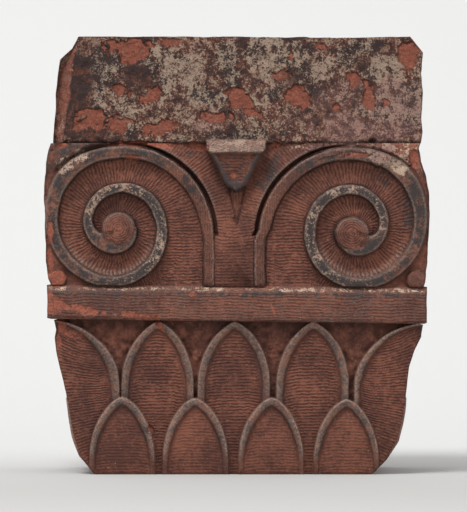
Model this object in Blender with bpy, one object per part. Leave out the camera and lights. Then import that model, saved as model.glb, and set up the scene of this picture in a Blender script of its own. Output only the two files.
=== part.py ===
"""Brownstone pilaster capital: two volutes above a flat bar and a leaf-covered bell, one carved block.

Units are metres, +Z is up, the carved front faces -Y and the plain wall side faces +Y.
The origin is at the middle of the flat bed that the block stands on.
"""
import math

import bmesh
import bpy
from mathutils import Vector

MM = 0.001

# Courses of the block, from the bed up
BELL_HEIGHT = 155.5 * MM
BAR_HEIGHT = 33.5 * MM
VOLUTE_HEIGHT = 144.0 * MM
ABACUS_HEIGHT = 107.0 * MM
BLOCK_DEPTH = 185.0 * MM
AXIS_X = -2.0 * MM

# Abacus: its left arris is broken away, and its right upper corner is knocked off
ABACUS_LEFT_TOP = 164.0 * MM
ABACUS_LEFT_FOOT = 183.0 * MM
ABACUS_LEFT_WAIST = 179.5 * MM
ABACUS_WAIST_DROP = 24.0 * MM
ABACUS_RIGHT_TOP = 175.0 * MM
ABACUS_RIGHT = 186.5 * MM
ABACUS_CHIP_HEIGHT = 18.0 * MM
ABACUS_BREAK_WIDTH = 20.0 * MM
ABACUS_BREAK_FOOT = 11.0 * MM
ABACUS_BREAK_DEPTH = 22.0 * MM
ABACUS_RIGHT_ARRIS = 2.5 * MM

# Cushion: the sides of the volute course swell out past the abacus
CUSHION_TOP_HALF = 186.0 * MM
CUSHION_FOOT_HALF = 187.0 * MM
CUSHION_SWELL = 7.0 * MM
CUSHION_ARRIS = 5.0 * MM
CUSHION_STEPS = 7
COURSE_JOINT = 1.0 * MM
FIELD_SINK = 2.0 * MM

# Flat bar, with a weathered top edge, that drops a little from left to right
BAR_LEFT_OVERHANG = 3.5 * MM
BAR_RIGHT_OVERHANG = 4.5 * MM
BAR_PROJECTION = 10.0 * MM
BAR_WEATHERING = 6.5 * MM
BAR_WEATHERING_DEPTH = 7.0 * MM
BAR_DROP = 4.5 * MM

# Bell: it draws in quickly under the bar, then slowly, and its foot rounds in to the bed,
# far at the two sides and only a little on the front
BELL_TOP_HALF = 186.5 * MM
BELL_TAPER = 22.0 * MM
BELL_TAPER_POWER = 0.65
FOOT_ROUND_HEIGHT = 60.0 * MM
FOOT_ROUND_DEPTH = 21.0 * MM
FOOT_ROUND_POWER = 2.2
FRONT_ROUND_DEPTH = 7.0 * MM
BELL_TOP_PROJECTION = 6.0 * MM
SPANDREL_DEPTH = 11.0 * MM
BELL_ARRIS = 3.0 * MM
BELL_STEPS = 11

# Leaves: every leaf is an arch with a raised rim round a sunk, tooled panel
RIM_WIDTH = 9.5 * MM
RIM_RISE = 3.0 * MM
RIM_ARRIS = 1.5 * MM
UPPER_LEAF_HALF = 35.5 * MM
UPPER_LEAF_ARCH = 66.0 * MM
UPPER_LEAF_PITCH = 77.5 * MM
UPPER_LEAF_COUNT = 3
UPPER_TIP_CLEARANCE = 0.8 * MM
LOWER_LEAF_HALF = 34.0 * MM
LOWER_LEAF_ARCH = 70.0 * MM
LOWER_LEAF_PITCH = 75.0 * MM
LOWER_LEAF_COUNT = 4
LOWER_TIP_HEIGHT = 78.0 * MM
LOWER_LEAF_LIFT = 4.0 * MM
SIDE_LOWER_LIFT = 2.5 * MM
CORNER_LEAF_HALF = 70.0 * MM
CORNER_LEAF_ARCH = 68.0 * MM
SIDE_UPPER_FIRST = 108.0 * MM
SIDE_LOWER_FIRST = 72.0 * MM
ARCH_POWER = 0.6
ARCH_ROWS = 7
ARCH_SPACING = 1.6
STRAIGHT_STEP = 13.0 * MM
UPPER_RIM_FOOT = 42.0 * MM

# Volutes: a band winds out from the eye and runs down beside the axis as a stem
EYE_FROM_SIDE = 75.6 * MM
EYE_ABOVE_BAR = 54.0 * MM
EYE_RADIUS = 20.5 * MM
EYE_RISE = 9.5 * MM
EYE_SIDES = 28
SPIRAL_ABOVE_EYE = 4.5 * MM
SPIRAL_START_RADIUS = 21.0 * MM
SPIRAL_GROWTH = 4.75 * MM
SPIRAL_SWELL = 0.124 * MM
SPIRAL_START_TURN = -0.05
SPIRAL_END_TURN = 1.72
SPIRAL_TOP_TURN = 1.5
INNER_STEPS = 30
OUTER_STEPS = 18
BAND_WIDTH = 12.0 * MM
BAND_RISE = 8.5 * MM
BAND_ARRIS = 2.0 * MM
BAND_FILLET = 5.0 * MM
OUTER_TURN_START = 1.0
OUTER_TURN_FILLET = 1.5 * MM
FILLET_TOE_RISE = 0.5 * MM
FILLET_KNEE_ACROSS_SHARE = 0.2
FILLET_KNEE_RISE_SHARE = 0.4
VOLUTE_DROP = 1.1 * MM
STEM_FROM_AXIS = 25.0 * MM
STEM_TOP = 43.5 * MM
STEM_STEPS = 4

# Calyx between the stems: a flat panel that opens upward into two flared flanges
PANEL_RISE = 5.5 * MM
PANEL_TOP = 51.5 * MM
FLANGE_RISE = 8.0 * MM
VALLEY_SINK = 2.0 * MM
VALLEY_RUN = 34.0 * MM
VALLEY_POWER = 1.3
CALYX_ROWS = 11
CALYX_SEARCH_STEPS = 60
CALYX_COLUMNS = 10
SLIT_WIDTH = 4.0 * MM
SLIT_SINK = 7.0 * MM
SLIT_START_TURN = 1.47
SLIT_FOOT = 50.5 * MM
SLIT_EASE = 0.4 * MM
SLIT_STEPS = 10

# Pendant: a tongue with raised edges that hangs from the abacus between the flanges
PENDANT_PROJECTION = 18.0 * MM
PENDANT_HALF = 30.0 * MM
PENDANT_OVERLAP = 4.5 * MM
PENDANT_LEDGE = 11.0 * MM
PENDANT_LENGTH = 47.0 * MM
PENDANT_TIP_PROJECTION = 8.0 * MM
PENDANT_SHIFT = 2.0 * MM
PENDANT_POWER = 0.78
PENDANT_ROWS = 8
PENDANT_TIP_SHARE = 0.97
PENDANT_EDGE = 5.5 * MM
PENDANT_EDGE_SHARE = 0.5
PENDANT_PANEL_SINK = 3.0 * MM
PENDANT_SLOPE_SHARE = 0.4
PENDANT_PANEL_TOP_SHARE = 0.26
PENDANT_PANEL_FOOT_SHARE = 0.86

# Knobs in the lower outer corners of the volute course; the left one is broken off to a stump
KNOB_FROM_AXIS = 180.0 * MM
KNOB_ABOVE_BAR = 7.0 * MM
KNOB_RADIUS = 10.5 * MM
KNOB_STUMP_SHARE = 0.55
KNOB_RISE = 8.0 * MM
KNOB_SIDES = 14
KNOB_PROFILE = ((0.35, 1.0), (0.75, 0.8), (1.0, 0.4))

# How far a solid reaches into its neighbour, or a cutter past the stone, before they are combined
OVERLAP = 6.0 * MM
CUTTER_REACH = 30.0 * MM
WELD = 0.03 * MM
FLAT_ANGLE = math.radians(0.6)

STONE_COLOUR = (0.165, 0.062, 0.042, 1.0)
STONE_ROUGHNESS = 0.9

# Places that follow from the sizes above
BAR_TOP = BELL_HEIGHT + BAR_HEIGHT
ABACUS_FOOT = BAR_TOP + VOLUTE_HEIGHT
TOTAL_HEIGHT = ABACUS_FOOT + ABACUS_HEIGHT
TOTAL_DEPTH = BLOCK_DEPTH + PENDANT_PROJECTION
WALL_Y = TOTAL_DEPTH / 2
FACE_Y = WALL_Y - BLOCK_DEPTH
FIELD_Y = FACE_Y + FIELD_SINK
BELL_Y = FACE_Y - BELL_TOP_PROJECTION


def clear_scene():
    """Remove every object of the open scene."""
    for item in list(bpy.data.objects):
        bpy.data.objects.remove(item, do_unlink=True)


def stone_material():
    """Return the dark red-brown sandstone finish."""
    material = bpy.data.materials.new("brownstone")
    material.use_nodes = True
    shader = material.node_tree.nodes["Principled BSDF"]
    shader.inputs["Base Color"].default_value = STONE_COLOUR
    shader.inputs["Roughness"].default_value = STONE_ROUGHNESS
    shader.inputs["Metallic"].default_value = 0.0
    return material


def solid_from_sections(name, sections):
    """Return a closed object lofted through rings of points, each ring with as many points."""
    mesh = bmesh.new()
    rings = [[mesh.verts.new(point) for point in section] for section in sections]
    for lower, upper in zip(rings, rings[1:]):
        count = len(lower)
        for index in range(count):
            after = (index + 1) % count
            mesh.faces.new((lower[index], lower[after], upper[after], upper[index]))
    mesh.faces.new(rings[0])
    mesh.faces.new(rings[-1])
    mesh.normal_update()
    bmesh.ops.triangulate(mesh, faces=mesh.faces)
    bmesh.ops.recalc_face_normals(mesh, faces=mesh.faces)
    data = bpy.data.meshes.new(name)
    mesh.to_mesh(data)
    mesh.free()
    item = bpy.data.objects.new(name, data)
    bpy.context.scene.collection.objects.link(item)
    return item


def combine(target, tools, operation):
    """Apply one exact Boolean of all the tools to the target, then remove the tools."""
    group = bpy.data.collections.new(operation)
    bpy.context.scene.collection.children.link(group)
    for tool in tools:
        group.objects.link(tool)
        bpy.context.scene.collection.objects.unlink(tool)
    modifier = target.modifiers.new(operation, "BOOLEAN")
    modifier.operand_type = "COLLECTION"
    modifier.collection = group
    modifier.operation = operation
    modifier.solver = "EXACT"
    graph = bpy.context.evaluated_depsgraph_get()
    result = bpy.data.meshes.new_from_object(target.evaluated_get(graph))
    target.modifiers.clear()
    mesh = bmesh.new()
    mesh.from_mesh(result)
    bmesh.ops.remove_doubles(mesh, verts=mesh.verts, dist=WELD)
    mesh.to_mesh(result)
    mesh.free()
    target.data = result
    for tool in tools:
        bpy.data.objects.remove(tool, do_unlink=True)
    bpy.data.collections.remove(group)


def block_ring(height, left, right, front, arris, drop=0.0, left_break=None):
    """Return one ring of the block in plan: broken or eased left arris, right arris, flat wall side."""
    broken_width, broken_depth = left_break or (arris, arris)
    outline = [
        (-left, front + broken_depth),
        (-left + broken_width, front),
        (right - arris, front),
        (right, front + arris),
        (right, WALL_Y),
        (-left, WALL_Y),
    ]
    half = (left + right) / 2
    return [Vector((x, y, height - drop / 2 * x / half)) for x, y in outline]


def bell_inset(height, round_depth):
    """Return how far a face of the bell has drawn in at a height, against its place under the bar."""
    down = min(max(1 - height / BELL_HEIGHT, 0.0), 1.0)
    rounded = min(max(1 - height / FOOT_ROUND_HEIGHT, 0.0), 1.0)
    return BELL_TAPER * down**BELL_TAPER_POWER + round_depth * rounded**FOOT_ROUND_POWER


def bell_half(height):
    """Return the bell's half width at the rims of its leaves."""
    return BELL_TOP_HALF - bell_inset(height, FOOT_ROUND_DEPTH)


def bell_front(height):
    """Return the place in Y of the leaf rims on the front."""
    return BELL_Y + bell_inset(height, FRONT_ROUND_DEPTH)


def bell_rings():
    """Return the rings of the bell's core, at the depth of the sunk ground between the leaves."""
    rings = []
    for step in range(BELL_STEPS):
        height = BELL_HEIGHT * step / (BELL_STEPS - 1)
        half = bell_half(height) - SPANDREL_DEPTH
        front = bell_front(height) + SPANDREL_DEPTH
        drop = BAR_DROP if step == BELL_STEPS - 1 else 0.0
        rings.append(block_ring(height, half, half, front, BELL_ARRIS, drop))
    return rings


def bar_rings():
    """Return the rings of the bar: flat face, then the weathered slope back to the volute field."""
    front = FACE_Y - BAR_PROJECTION
    slope = BAR_TOP - BAR_WEATHERING
    left = BELL_TOP_HALF + BAR_LEFT_OVERHANG
    right = BELL_TOP_HALF + BAR_RIGHT_OVERHANG
    face = (left, right, front)
    edge = (left, right, front + BAR_WEATHERING_DEPTH)
    arris = RIM_ARRIS
    return [
        block_ring(BELL_HEIGHT + COURSE_JOINT, *face, arris, BAR_DROP),
        block_ring(slope, *face, arris, BAR_DROP),
        block_ring(BAR_TOP - COURSE_JOINT, *edge, arris, BAR_DROP),
    ]


def cushion_half(share):
    """Return the half width of the volute course at a share of its height."""
    straight = CUSHION_FOOT_HALF + (CUSHION_TOP_HALF - CUSHION_FOOT_HALF) * share
    return straight + CUSHION_SWELL * math.sin(math.pi * share)


def cushion_rings():
    """Return the rings of the volute course, whose sides swell out."""
    rings = []
    for step in range(CUSHION_STEPS):
        share = step / (CUSHION_STEPS - 1)
        height = BAR_TOP + (VOLUTE_HEIGHT - COURSE_JOINT) * share
        drop = BAR_DROP * (1 - share)
        half = cushion_half(share)
        rings.append(block_ring(height, half, half, FIELD_Y, CUSHION_ARRIS, drop))
    return rings


def abacus_rings():
    """Return the rings of the abacus, with its broken left arris and its chipped right corner."""
    waist = TOTAL_HEIGHT - ABACUS_WAIST_DROP
    chip = TOTAL_HEIGHT - ABACUS_CHIP_HEIGHT
    wide = (ABACUS_BREAK_WIDTH, ABACUS_BREAK_DEPTH)
    narrow = (ABACUS_BREAK_FOOT, ABACUS_BREAK_DEPTH)
    easing = (ABACUS_RIGHT_ARRIS, ABACUS_RIGHT_ARRIS)
    rings = [
        (ABACUS_FOOT, ABACUS_LEFT_FOOT, ABACUS_RIGHT, narrow),
        (waist, ABACUS_LEFT_WAIST, ABACUS_RIGHT, wide),
        (chip, ABACUS_LEFT_WAIST - easing[0], ABACUS_RIGHT, wide),
        (TOTAL_HEIGHT, ABACUS_LEFT_TOP, ABACUS_RIGHT_TOP, easing),
    ]
    arris = ABACUS_RIGHT_ARRIS
    return [block_ring(z, left, right, FACE_Y, arris, 0.0, gap) for z, left, right, gap in rings]


def block_core():
    """Return the whole block before its carving, as one stack of rings."""
    rings = bell_rings() + bar_rings() + cushion_rings() + abacus_rings()
    return solid_from_sections("pilaster_capital", rings)


def arch_half(below_tip, half, arch):
    """Return an arch's half width at a distance below its tip."""
    share = min(below_tip / arch, 1.0)
    return half * (1 - (1 - share) ** 2) ** ARCH_POWER


def place_on_face(face, along, height, level):
    """Return a point on a face of the bell, given its place along the face and its level off the rims."""
    if face == "front":
        return Vector((along, bell_front(height) - level, height))
    side = 1 if face == "right" else -1
    return Vector((side * (bell_half(height) + level), BELL_Y + along, height))


def arch_points(half, arch, length, below=0.0):
    """Return one side of an arch, as (half width, distance below the tip), from the tip down.

    It comes down its whole length, then runs on by a distance below that.
    """
    points = []
    for row in range(ARCH_ROWS + 1):
        drop = arch * (row / ARCH_ROWS) ** ARCH_SPACING
        points.append(Vector((arch_half(drop, half, arch), drop)))
    straight = max(math.ceil((length - arch) / STRAIGHT_STEP), 1)
    for row in range(1, straight + 1):
        points.append(Vector((half, arch + (length - arch) * row / straight)))
    if below > 0:
        points.append(Vector((half, length + below)))
    return points


def panel_solid(face, middle, tip, half, arch, level):
    """Return the sunk panel of a leaf, an arch-shaped slab that stands on the ground behind it."""
    back = -SPANDREL_DEPTH - OVERLAP
    sections = []
    for width, drop in arch_points(half, arch, tip, OVERLAP):
        reach = max(width, RIM_ARRIS)
        outline = [(-reach, back), (-reach, level), (reach, level), (reach, back)]
        places = [(middle + x, tip - drop, depth) for x, depth in outline]
        sections.append([place_on_face(face, *place) for place in places])
    return solid_from_sections("leaf_panel", sections)


def rim_line(half, arch, length, below, both_sides):
    """Return (point, outward normal) pairs along the middle of a leaf's rim."""
    side = arch_points(half, arch, length, below)
    if both_sides:
        side = [Vector((-point.x, point.y)) for point in reversed(side[1:])] + side
    line = []
    for index, point in enumerate(side):
        before = side[max(index - 1, 0)]
        after = side[min(index + 1, len(side) - 1)]
        along = (after - before).normalized()
        line.append((point, Vector((along.y, -along.x))))
    if not both_sides:
        line[0] = (side[0], Vector((0.0, -1.0)))
    return line


def rim_solid(face, middle, tip, line, level, mirror=1):
    """Return the raised rim of a leaf, swept along its arch on a face of the bell."""
    reach = RIM_WIDTH / 2
    back = -SPANDREL_DEPTH - OVERLAP - RIM_ARRIS
    outline = [
        (-reach, back),
        (-reach, level - RIM_ARRIS),
        (RIM_ARRIS - reach, level),
        (reach - RIM_ARRIS, level),
        (reach, level - RIM_ARRIS),
        (reach, back),
    ]
    sections = []
    for point, normal in line:
        section = []
        for across, depth in outline:
            place = point + normal * across
            section.append(place_on_face(face, middle + mirror * place.x, tip - place.y, depth))
        sections.append(section)
    return solid_from_sections("leaf_rim", sections)


def leaf(face, middle, tip, half, arch, lift, rim_foot=0.0):
    """Return the solids of one leaf: its sunk panel, and its rim down to the height where that ends.

    The panel's tip lies half way under the rim.
    """
    inner = half - RIM_WIDTH / 2
    crown = tip - RIM_WIDTH / 2
    below = 0.0 if rim_foot > 0 else OVERLAP
    line = rim_line(inner, arch - RIM_WIDTH / 2, crown - rim_foot, below, True)
    panel = panel_solid(face, middle, crown - RIM_WIDTH / 4, inner, arch, lift - RIM_RISE)
    return [panel, rim_solid(face, middle, crown, line, lift)]


def corner_panel(side, tip, half, arch):
    """Return the panel of the leaf that folds round a front arris of the bell."""
    inner = -SPANDREL_DEPTH - OVERLAP
    sections = []
    for width, drop in arch_points(half, arch, tip, OVERLAP)[1:]:
        height = tip - drop
        outer_x = bell_half(height) - RIM_RISE
        outer_y = bell_front(height) + RIM_RISE
        inner_x = bell_half(height) + inner
        inner_y = bell_front(height) - inner
        far_x = bell_half(height) - width
        far_y = bell_front(height) + width
        outline = [
            (outer_x, outer_y),
            (outer_x, far_y),
            (inner_x, far_y),
            (inner_x, inner_y),
            (far_x, inner_y),
            (far_x, outer_y),
        ]
        sections.append([Vector((side * x, y, height)) for x, y in outline])
    return solid_from_sections("corner_leaf_panel", sections)


def corner_leaf(side):
    """Return the solids of the leaf that folds round one front arris: its panel and two half rims."""
    crown = BELL_HEIGHT - RIM_WIDTH / 2 - side * BAR_DROP / 2
    inner = CORNER_LEAF_HALF - RIM_WIDTH / 2
    line = rim_line(inner, CORNER_LEAF_ARCH, crown - UPPER_RIM_FOOT, 0.0, False)
    face = "right" if side > 0 else "left"
    front_start = Vector((RIM_ARRIS, 0.0))
    side_line = [(line[0][0] + front_start, line[0][1])] + line[1:]
    return [
        corner_panel(side, crown, inner, CORNER_LEAF_ARCH),
        rim_solid("front", side * BELL_TOP_HALF, crown, line, 0.0, -side),
        rim_solid(face, 0.0, crown, side_line, 0.0),
    ]


def row_places(count, pitch):
    """Return the places of an even row of leaves across the front, about the axis of the carving."""
    return [AXIS_X + (index - (count - 1) / 2) * pitch for index in range(count)]


def side_places(first, pitch):
    """Return the places of a row of leaves along a side of the bell, back to the wall."""
    places = []
    place = first
    while place < WALL_Y - BELL_Y + pitch / 2:
        places.append(place)
        place += pitch
    return places


def all_leaves():
    """Return the solids of both rows of leaves, the lower ones in front of the upper ones."""
    upper = (BELL_HEIGHT + UPPER_TIP_CLEARANCE, UPPER_LEAF_HALF, UPPER_LEAF_ARCH, 0.0)
    lower = (LOWER_TIP_HEIGHT, LOWER_LEAF_HALF, LOWER_LEAF_ARCH)
    solids = corner_leaf(-1) + corner_leaf(1)
    for place in row_places(UPPER_LEAF_COUNT, UPPER_LEAF_PITCH):
        solids += leaf("front", place, *upper, UPPER_RIM_FOOT)
    for place in row_places(LOWER_LEAF_COUNT, LOWER_LEAF_PITCH):
        solids += leaf("front", place, *lower, LOWER_LEAF_LIFT)
    for face in ("left", "right"):
        for place in side_places(SIDE_UPPER_FIRST, UPPER_LEAF_PITCH):
            solids += leaf(face, place, *upper, UPPER_RIM_FOOT)
        for place in side_places(SIDE_LOWER_FIRST, LOWER_LEAF_PITCH):
            solids += leaf(face, place, *lower, SIDE_LOWER_LIFT)
    return solids


def spiral_point(turn, offset):
    """Return a point of the left volute's spiral about its eye, offset outward from the centre line."""
    around = turn * 2 * math.pi
    radius = SPIRAL_START_RADIUS + (SPIRAL_GROWTH + SPIRAL_SWELL * around) * around
    angle = -math.pi / 2 - around
    reach = radius + offset
    return Vector((reach * math.cos(angle), SPIRAL_ABOVE_EYE + reach * math.sin(angle)))


def eye_place():
    """Return the left eye's place in X and Z about the axis of the carving."""
    spread = cushion_half(EYE_ABOVE_BAR / VOLUTE_HEIGHT) - EYE_FROM_SIDE
    return Vector((-spread, BAR_TOP + EYE_ABOVE_BAR))


def band_line(offset, start_turn, end_turn, steps):
    """Return points and outward normals along the left spiral."""
    points = []
    for step in range(steps + 1):
        turn = start_turn + (end_turn - start_turn) * step / steps
        inner = spiral_point(turn, offset)
        outer = spiral_point(turn, offset + BAND_WIDTH)
        points.append((eye_place() + inner, (outer - inner).normalized()))
    return points


def stem_line(foot, offset):
    """Return points and outward normals from the end of the spiral down the left stem."""
    start = eye_place() + spiral_point(SPIRAL_END_TURN, 0.0)
    straight = BAR_TOP + STEM_TOP
    points = []
    for step in range(1, STEM_STEPS + 1):
        share = step / STEM_STEPS
        x = start.x + (-STEM_FROM_AXIS - start.x) * math.sin(share * math.pi / 2)
        points.append(Vector((x, start.y + (straight - start.y) * share)))
    if foot < straight:
        points.append(Vector((-STEM_FROM_AXIS, foot)))
    normal = Vector((1.0, 0.0))
    return [(point + normal * offset, normal) for point in points]


def sweep(name, line, outlines, side):
    """Return a solid swept along a line on the front, by an (across, level) outline for each point."""
    sections = []
    for (point, normal), outline in zip(line, outlines):
        section = []
        for across, level in outline:
            place = point + normal * across
            section.append(Vector((AXIS_X - side * place.x, FIELD_Y - level, place.y + drop_at(side))))
        sections.append(section)
    return solid_from_sections(name, sections)


def drop_at(side):
    """Return how far the volute on a side sits above or below the level one."""
    return -side * VOLUTE_DROP


def band_outline(outer_fillet):
    """Return the band's outline across, as (across, level) points, with its fillets at the field."""
    flank = BAND_WIDTH / 2
    knee = BAND_RISE * FILLET_KNEE_RISE_SHARE
    return [
        (-flank - BAND_FILLET, -OVERLAP),
        (-flank - BAND_FILLET, FILLET_TOE_RISE),
        (-flank - BAND_FILLET * FILLET_KNEE_ACROSS_SHARE, knee),
        (-flank, BAND_RISE - BAND_ARRIS),
        (-flank + BAND_ARRIS, BAND_RISE),
        (flank - BAND_ARRIS, BAND_RISE),
        (flank, BAND_RISE - BAND_ARRIS),
        (flank + outer_fillet * FILLET_KNEE_ACROSS_SHARE, knee),
        (flank + outer_fillet, FILLET_TOE_RISE),
        (flank + outer_fillet, -OVERLAP),
    ]


def volute(side):
    """Return one volute: its band, with the stem that it runs down into, and its eye."""
    inner = band_line(0.0, SPIRAL_START_TURN, OUTER_TURN_START, INNER_STEPS)
    outer = band_line(0.0, OUTER_TURN_START, SLIT_START_TURN, OUTER_STEPS)[1:]
    beside_slit = band_line(0.0, SLIT_START_TURN, SPIRAL_END_TURN, SLIT_STEPS)[1:]
    beside_slit += stem_line(BAR_TOP - BAR_WEATHERING - COURSE_JOINT * 2, 0.0)
    line = inner + outer + beside_slit
    fillets = [BAND_FILLET] * len(inner) + [OUTER_TURN_FILLET] * len(outer)
    fillets += [SLIT_EASE] * len(beside_slit)
    outlines = [band_outline(fillet) for fillet in fillets]
    return [sweep("volute_band", line, outlines, side), eye_solid(side)]


def eye_solid(side):
    """Return the raised round eye at the heart of a volute."""
    centre = eye_place()
    levels = [(-OVERLAP, 1.0), (EYE_RISE - BAND_ARRIS, 1.0), (EYE_RISE, 1 - BAND_ARRIS / EYE_RADIUS)]
    sections = []
    for level, share in levels:
        section = []
        for step in range(EYE_SIDES):
            angle = 2 * math.pi * step / EYE_SIDES
            x = centre.x + EYE_RADIUS * share * math.cos(angle)
            z = centre.y + EYE_RADIUS * share * math.sin(angle) + drop_at(side)
            section.append(Vector((AXIS_X - side * x, FIELD_Y - level, z)))
        sections.append(section)
    return solid_from_sections("volute_eye", sections)


def calyx_half(height):
    """Return the calyx's half width at a height: it stops a slit's width short of the bands."""
    if height < BAR_TOP + SLIT_FOOT:
        return STEM_FROM_AXIS
    edge = BAND_WIDTH / 2 + SLIT_WIDTH
    beside = Vector((STEM_FROM_AXIS - edge, BAR_TOP + SLIT_FOOT))
    for step in range(CALYX_SEARCH_STEPS + 1):
        share = step / CALYX_SEARCH_STEPS
        turn = SPIRAL_END_TURN + (SPIRAL_TOP_TURN - SPIRAL_END_TURN) * share
        place = eye_place() + spiral_point(turn, edge)
        if place.y >= height:
            rise = (height - beside.y) / max(place.y - beside.y, MM)
            return beside.x + (-place.x - beside.x) * min(rise, 1.0)
        beside = Vector((-place.x, place.y))
    return beside.x + height - beside.y


def calyx_level(height, across):
    """Return how far the calyx stands off the field, at a height and a share across from its middle."""
    flare_foot = BAR_TOP + PANEL_TOP
    opened = min(max((height - flare_foot) / VALLEY_RUN, 0.0), 1.0)
    opened = opened * opened * (3 - 2 * opened)
    valley = PANEL_RISE - (PANEL_RISE + VALLEY_SINK) * opened
    edge = PANEL_RISE + (FLANGE_RISE - PANEL_RISE) * opened
    return valley + (edge - valley) * abs(across) ** VALLEY_POWER


def calyx():
    """Return the panel between the stems and the flanges that flare from it up to the abacus."""
    foot = BAR_TOP - BAR_WEATHERING - COURSE_JOINT
    crown = ABACUS_FOOT - COURSE_JOINT / 2
    narrowing = BAR_TOP + SLIT_FOOT
    heights = [foot, narrowing - SLIT_EASE]
    for row in range(CALYX_ROWS + 1):
        start = narrowing + SLIT_EASE
        heights.append(start + (crown - start) * row / CALYX_ROWS)
    sections = []
    for height in heights:
        half = calyx_half(height)
        section = []
        for column in range(CALYX_COLUMNS + 1):
            across = -1 + 2 * column / CALYX_COLUMNS
            level = calyx_level(height, across)
            section.append(Vector((AXIS_X + half * across, FIELD_Y - level, height)))
        section.append(Vector((AXIS_X + half, FIELD_Y + OVERLAP, height)))
        section.append(Vector((AXIS_X - half, FIELD_Y + OVERLAP, height)))
        sections.append(section)
    return solid_from_sections("calyx", sections)


def slit(side):
    """Return the cutter of the deep slit between a band and the flange beside it."""
    offset = BAND_WIDTH / 2 + SLIT_WIDTH / 2
    line = band_line(offset, SLIT_START_TURN, SPIRAL_END_TURN, SLIT_STEPS)
    line += stem_line(BAR_TOP + SLIT_FOOT, offset)
    half = SLIT_WIDTH / 2
    outline = [(-half, -SLIT_SINK), (-half, CUTTER_REACH), (half, CUTTER_REACH), (half, -SLIT_SINK)]
    return sweep("slit", line, [outline] * len(line), side)


def pendant_half(share):
    """Return the pendant's half width at a share of its length below the ledge."""
    return PENDANT_HALF * (1 - share) ** PENDANT_POWER


def pendant_level(share):
    """Return how far the pendant's face stands off the abacus at a share of its length."""
    return PENDANT_PROJECTION + (PENDANT_TIP_PROJECTION - PENDANT_PROJECTION) * share


def pendant_section(share, level):
    """Return one level cut through the pendant, with its face sunk between raised edges."""
    half = pendant_half(share)
    edge = half - min(PENDANT_EDGE, half * PENDANT_EDGE_SHARE)
    inner = edge - min(PENDANT_PANEL_SINK, edge * PENDANT_SLOPE_SHARE)
    sunk = PENDANT_PANEL_TOP_SHARE < share < PENDANT_PANEL_FOOT_SHARE
    floor = level - (PENDANT_PANEL_SINK if sunk else 0.0)
    height = ABACUS_FOOT + PENDANT_OVERLAP - PENDANT_LEDGE - (PENDANT_LENGTH - PENDANT_LEDGE) * share
    outline = [(half, -OVERLAP), (half, level), (edge, level), (inner, floor)]
    outline += [(-x, depth) for x, depth in reversed(outline)]
    middle = AXIS_X + PENDANT_SHIFT
    return [Vector((middle + x, FACE_Y - depth, height)) for x, depth in outline]


def pendant():
    """Return the hanging tongue with its sloping ledge."""
    ledge = pendant_section(0.0, -BAND_ARRIS)
    for point in ledge:
        point.z = ABACUS_FOOT + PENDANT_OVERLAP
    sections = [ledge]
    for row in range(PENDANT_ROWS):
        share = PENDANT_TIP_SHARE * row / (PENDANT_ROWS - 1)
        sections.append(pendant_section(share, pendant_level(share)))
    return solid_from_sections("pendant", sections)


def knob(side):
    """Return one corner knob; the left one is a low stump where the rest broke away."""
    rise = KNOB_RISE * (KNOB_STUMP_SHARE if side < 0 else 1.0)
    levels = [(-OVERLAP, 1.0)] + [(rise * share, reach) for share, reach in KNOB_PROFILE]
    sections = []
    for level, reach in levels:
        section = []
        for step in range(KNOB_SIDES):
            angle = 2 * math.pi * step / KNOB_SIDES
            x = side * KNOB_FROM_AXIS + KNOB_RADIUS * reach * math.cos(angle)
            z = BAR_TOP + KNOB_ABOVE_BAR + drop_at(side) + KNOB_RADIUS * reach * math.sin(angle)
            section.append(Vector((x, FIELD_Y - level, z)))
        sections.append(section)
    return solid_from_sections("knob", sections)


def trim(block):
    """Cut the block off flat at its bed and at the wall."""
    mesh = bmesh.new()
    mesh.from_mesh(block.data)
    for place, outward in ((Vector(), Vector((0, 0, -1))), (Vector((0, WALL_Y, 0)), Vector((0, 1, 0)))):
        parts = mesh.verts[:] + mesh.edges[:] + mesh.faces[:]
        cut = bmesh.ops.bisect_plane(
            mesh, geom=parts, dist=WELD, plane_co=place, plane_no=outward, clear_outer=True
        )
        rim = [item for item in cut["geom_cut"] if isinstance(item, bmesh.types.BMEdge)]
        bmesh.ops.holes_fill(mesh, edges=rim)
    bmesh.ops.dissolve_limit(mesh, angle_limit=FLAT_ANGLE, verts=mesh.verts, edges=mesh.edges)
    mesh.normal_update()
    bmesh.ops.triangulate(mesh, faces=mesh.faces)
    bmesh.ops.recalc_face_normals(mesh, faces=mesh.faces)
    mesh.to_mesh(block.data)
    mesh.free()


def build():
    """Build the capital: cut the slits, raise all that stands off the block, then trim it flat."""
    clear_scene()
    block = block_core()
    combine(block, [slit(-1), slit(1)], "DIFFERENCE")
    raised = [calyx(), pendant()] + all_leaves()
    for side in (-1, 1):
        raised += volute(side) + [knob(side)]
    combine(block, raised, "UNION")
    trim(block)
    block.data.materials.clear()
    block.data.materials.append(stone_material())


build()
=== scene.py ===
"""Looks of the brownstone pilaster capital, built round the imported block.

Sizes are in millimetres from the middle of the bed: x runs to the right, y to the wall and z up.
A level is how far the stone stands in front of the abacus face. Meshes are made in metres.
"""
from __future__ import annotations

import logging
import math
from dataclasses import dataclass, field, replace
from enum import Enum

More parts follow.
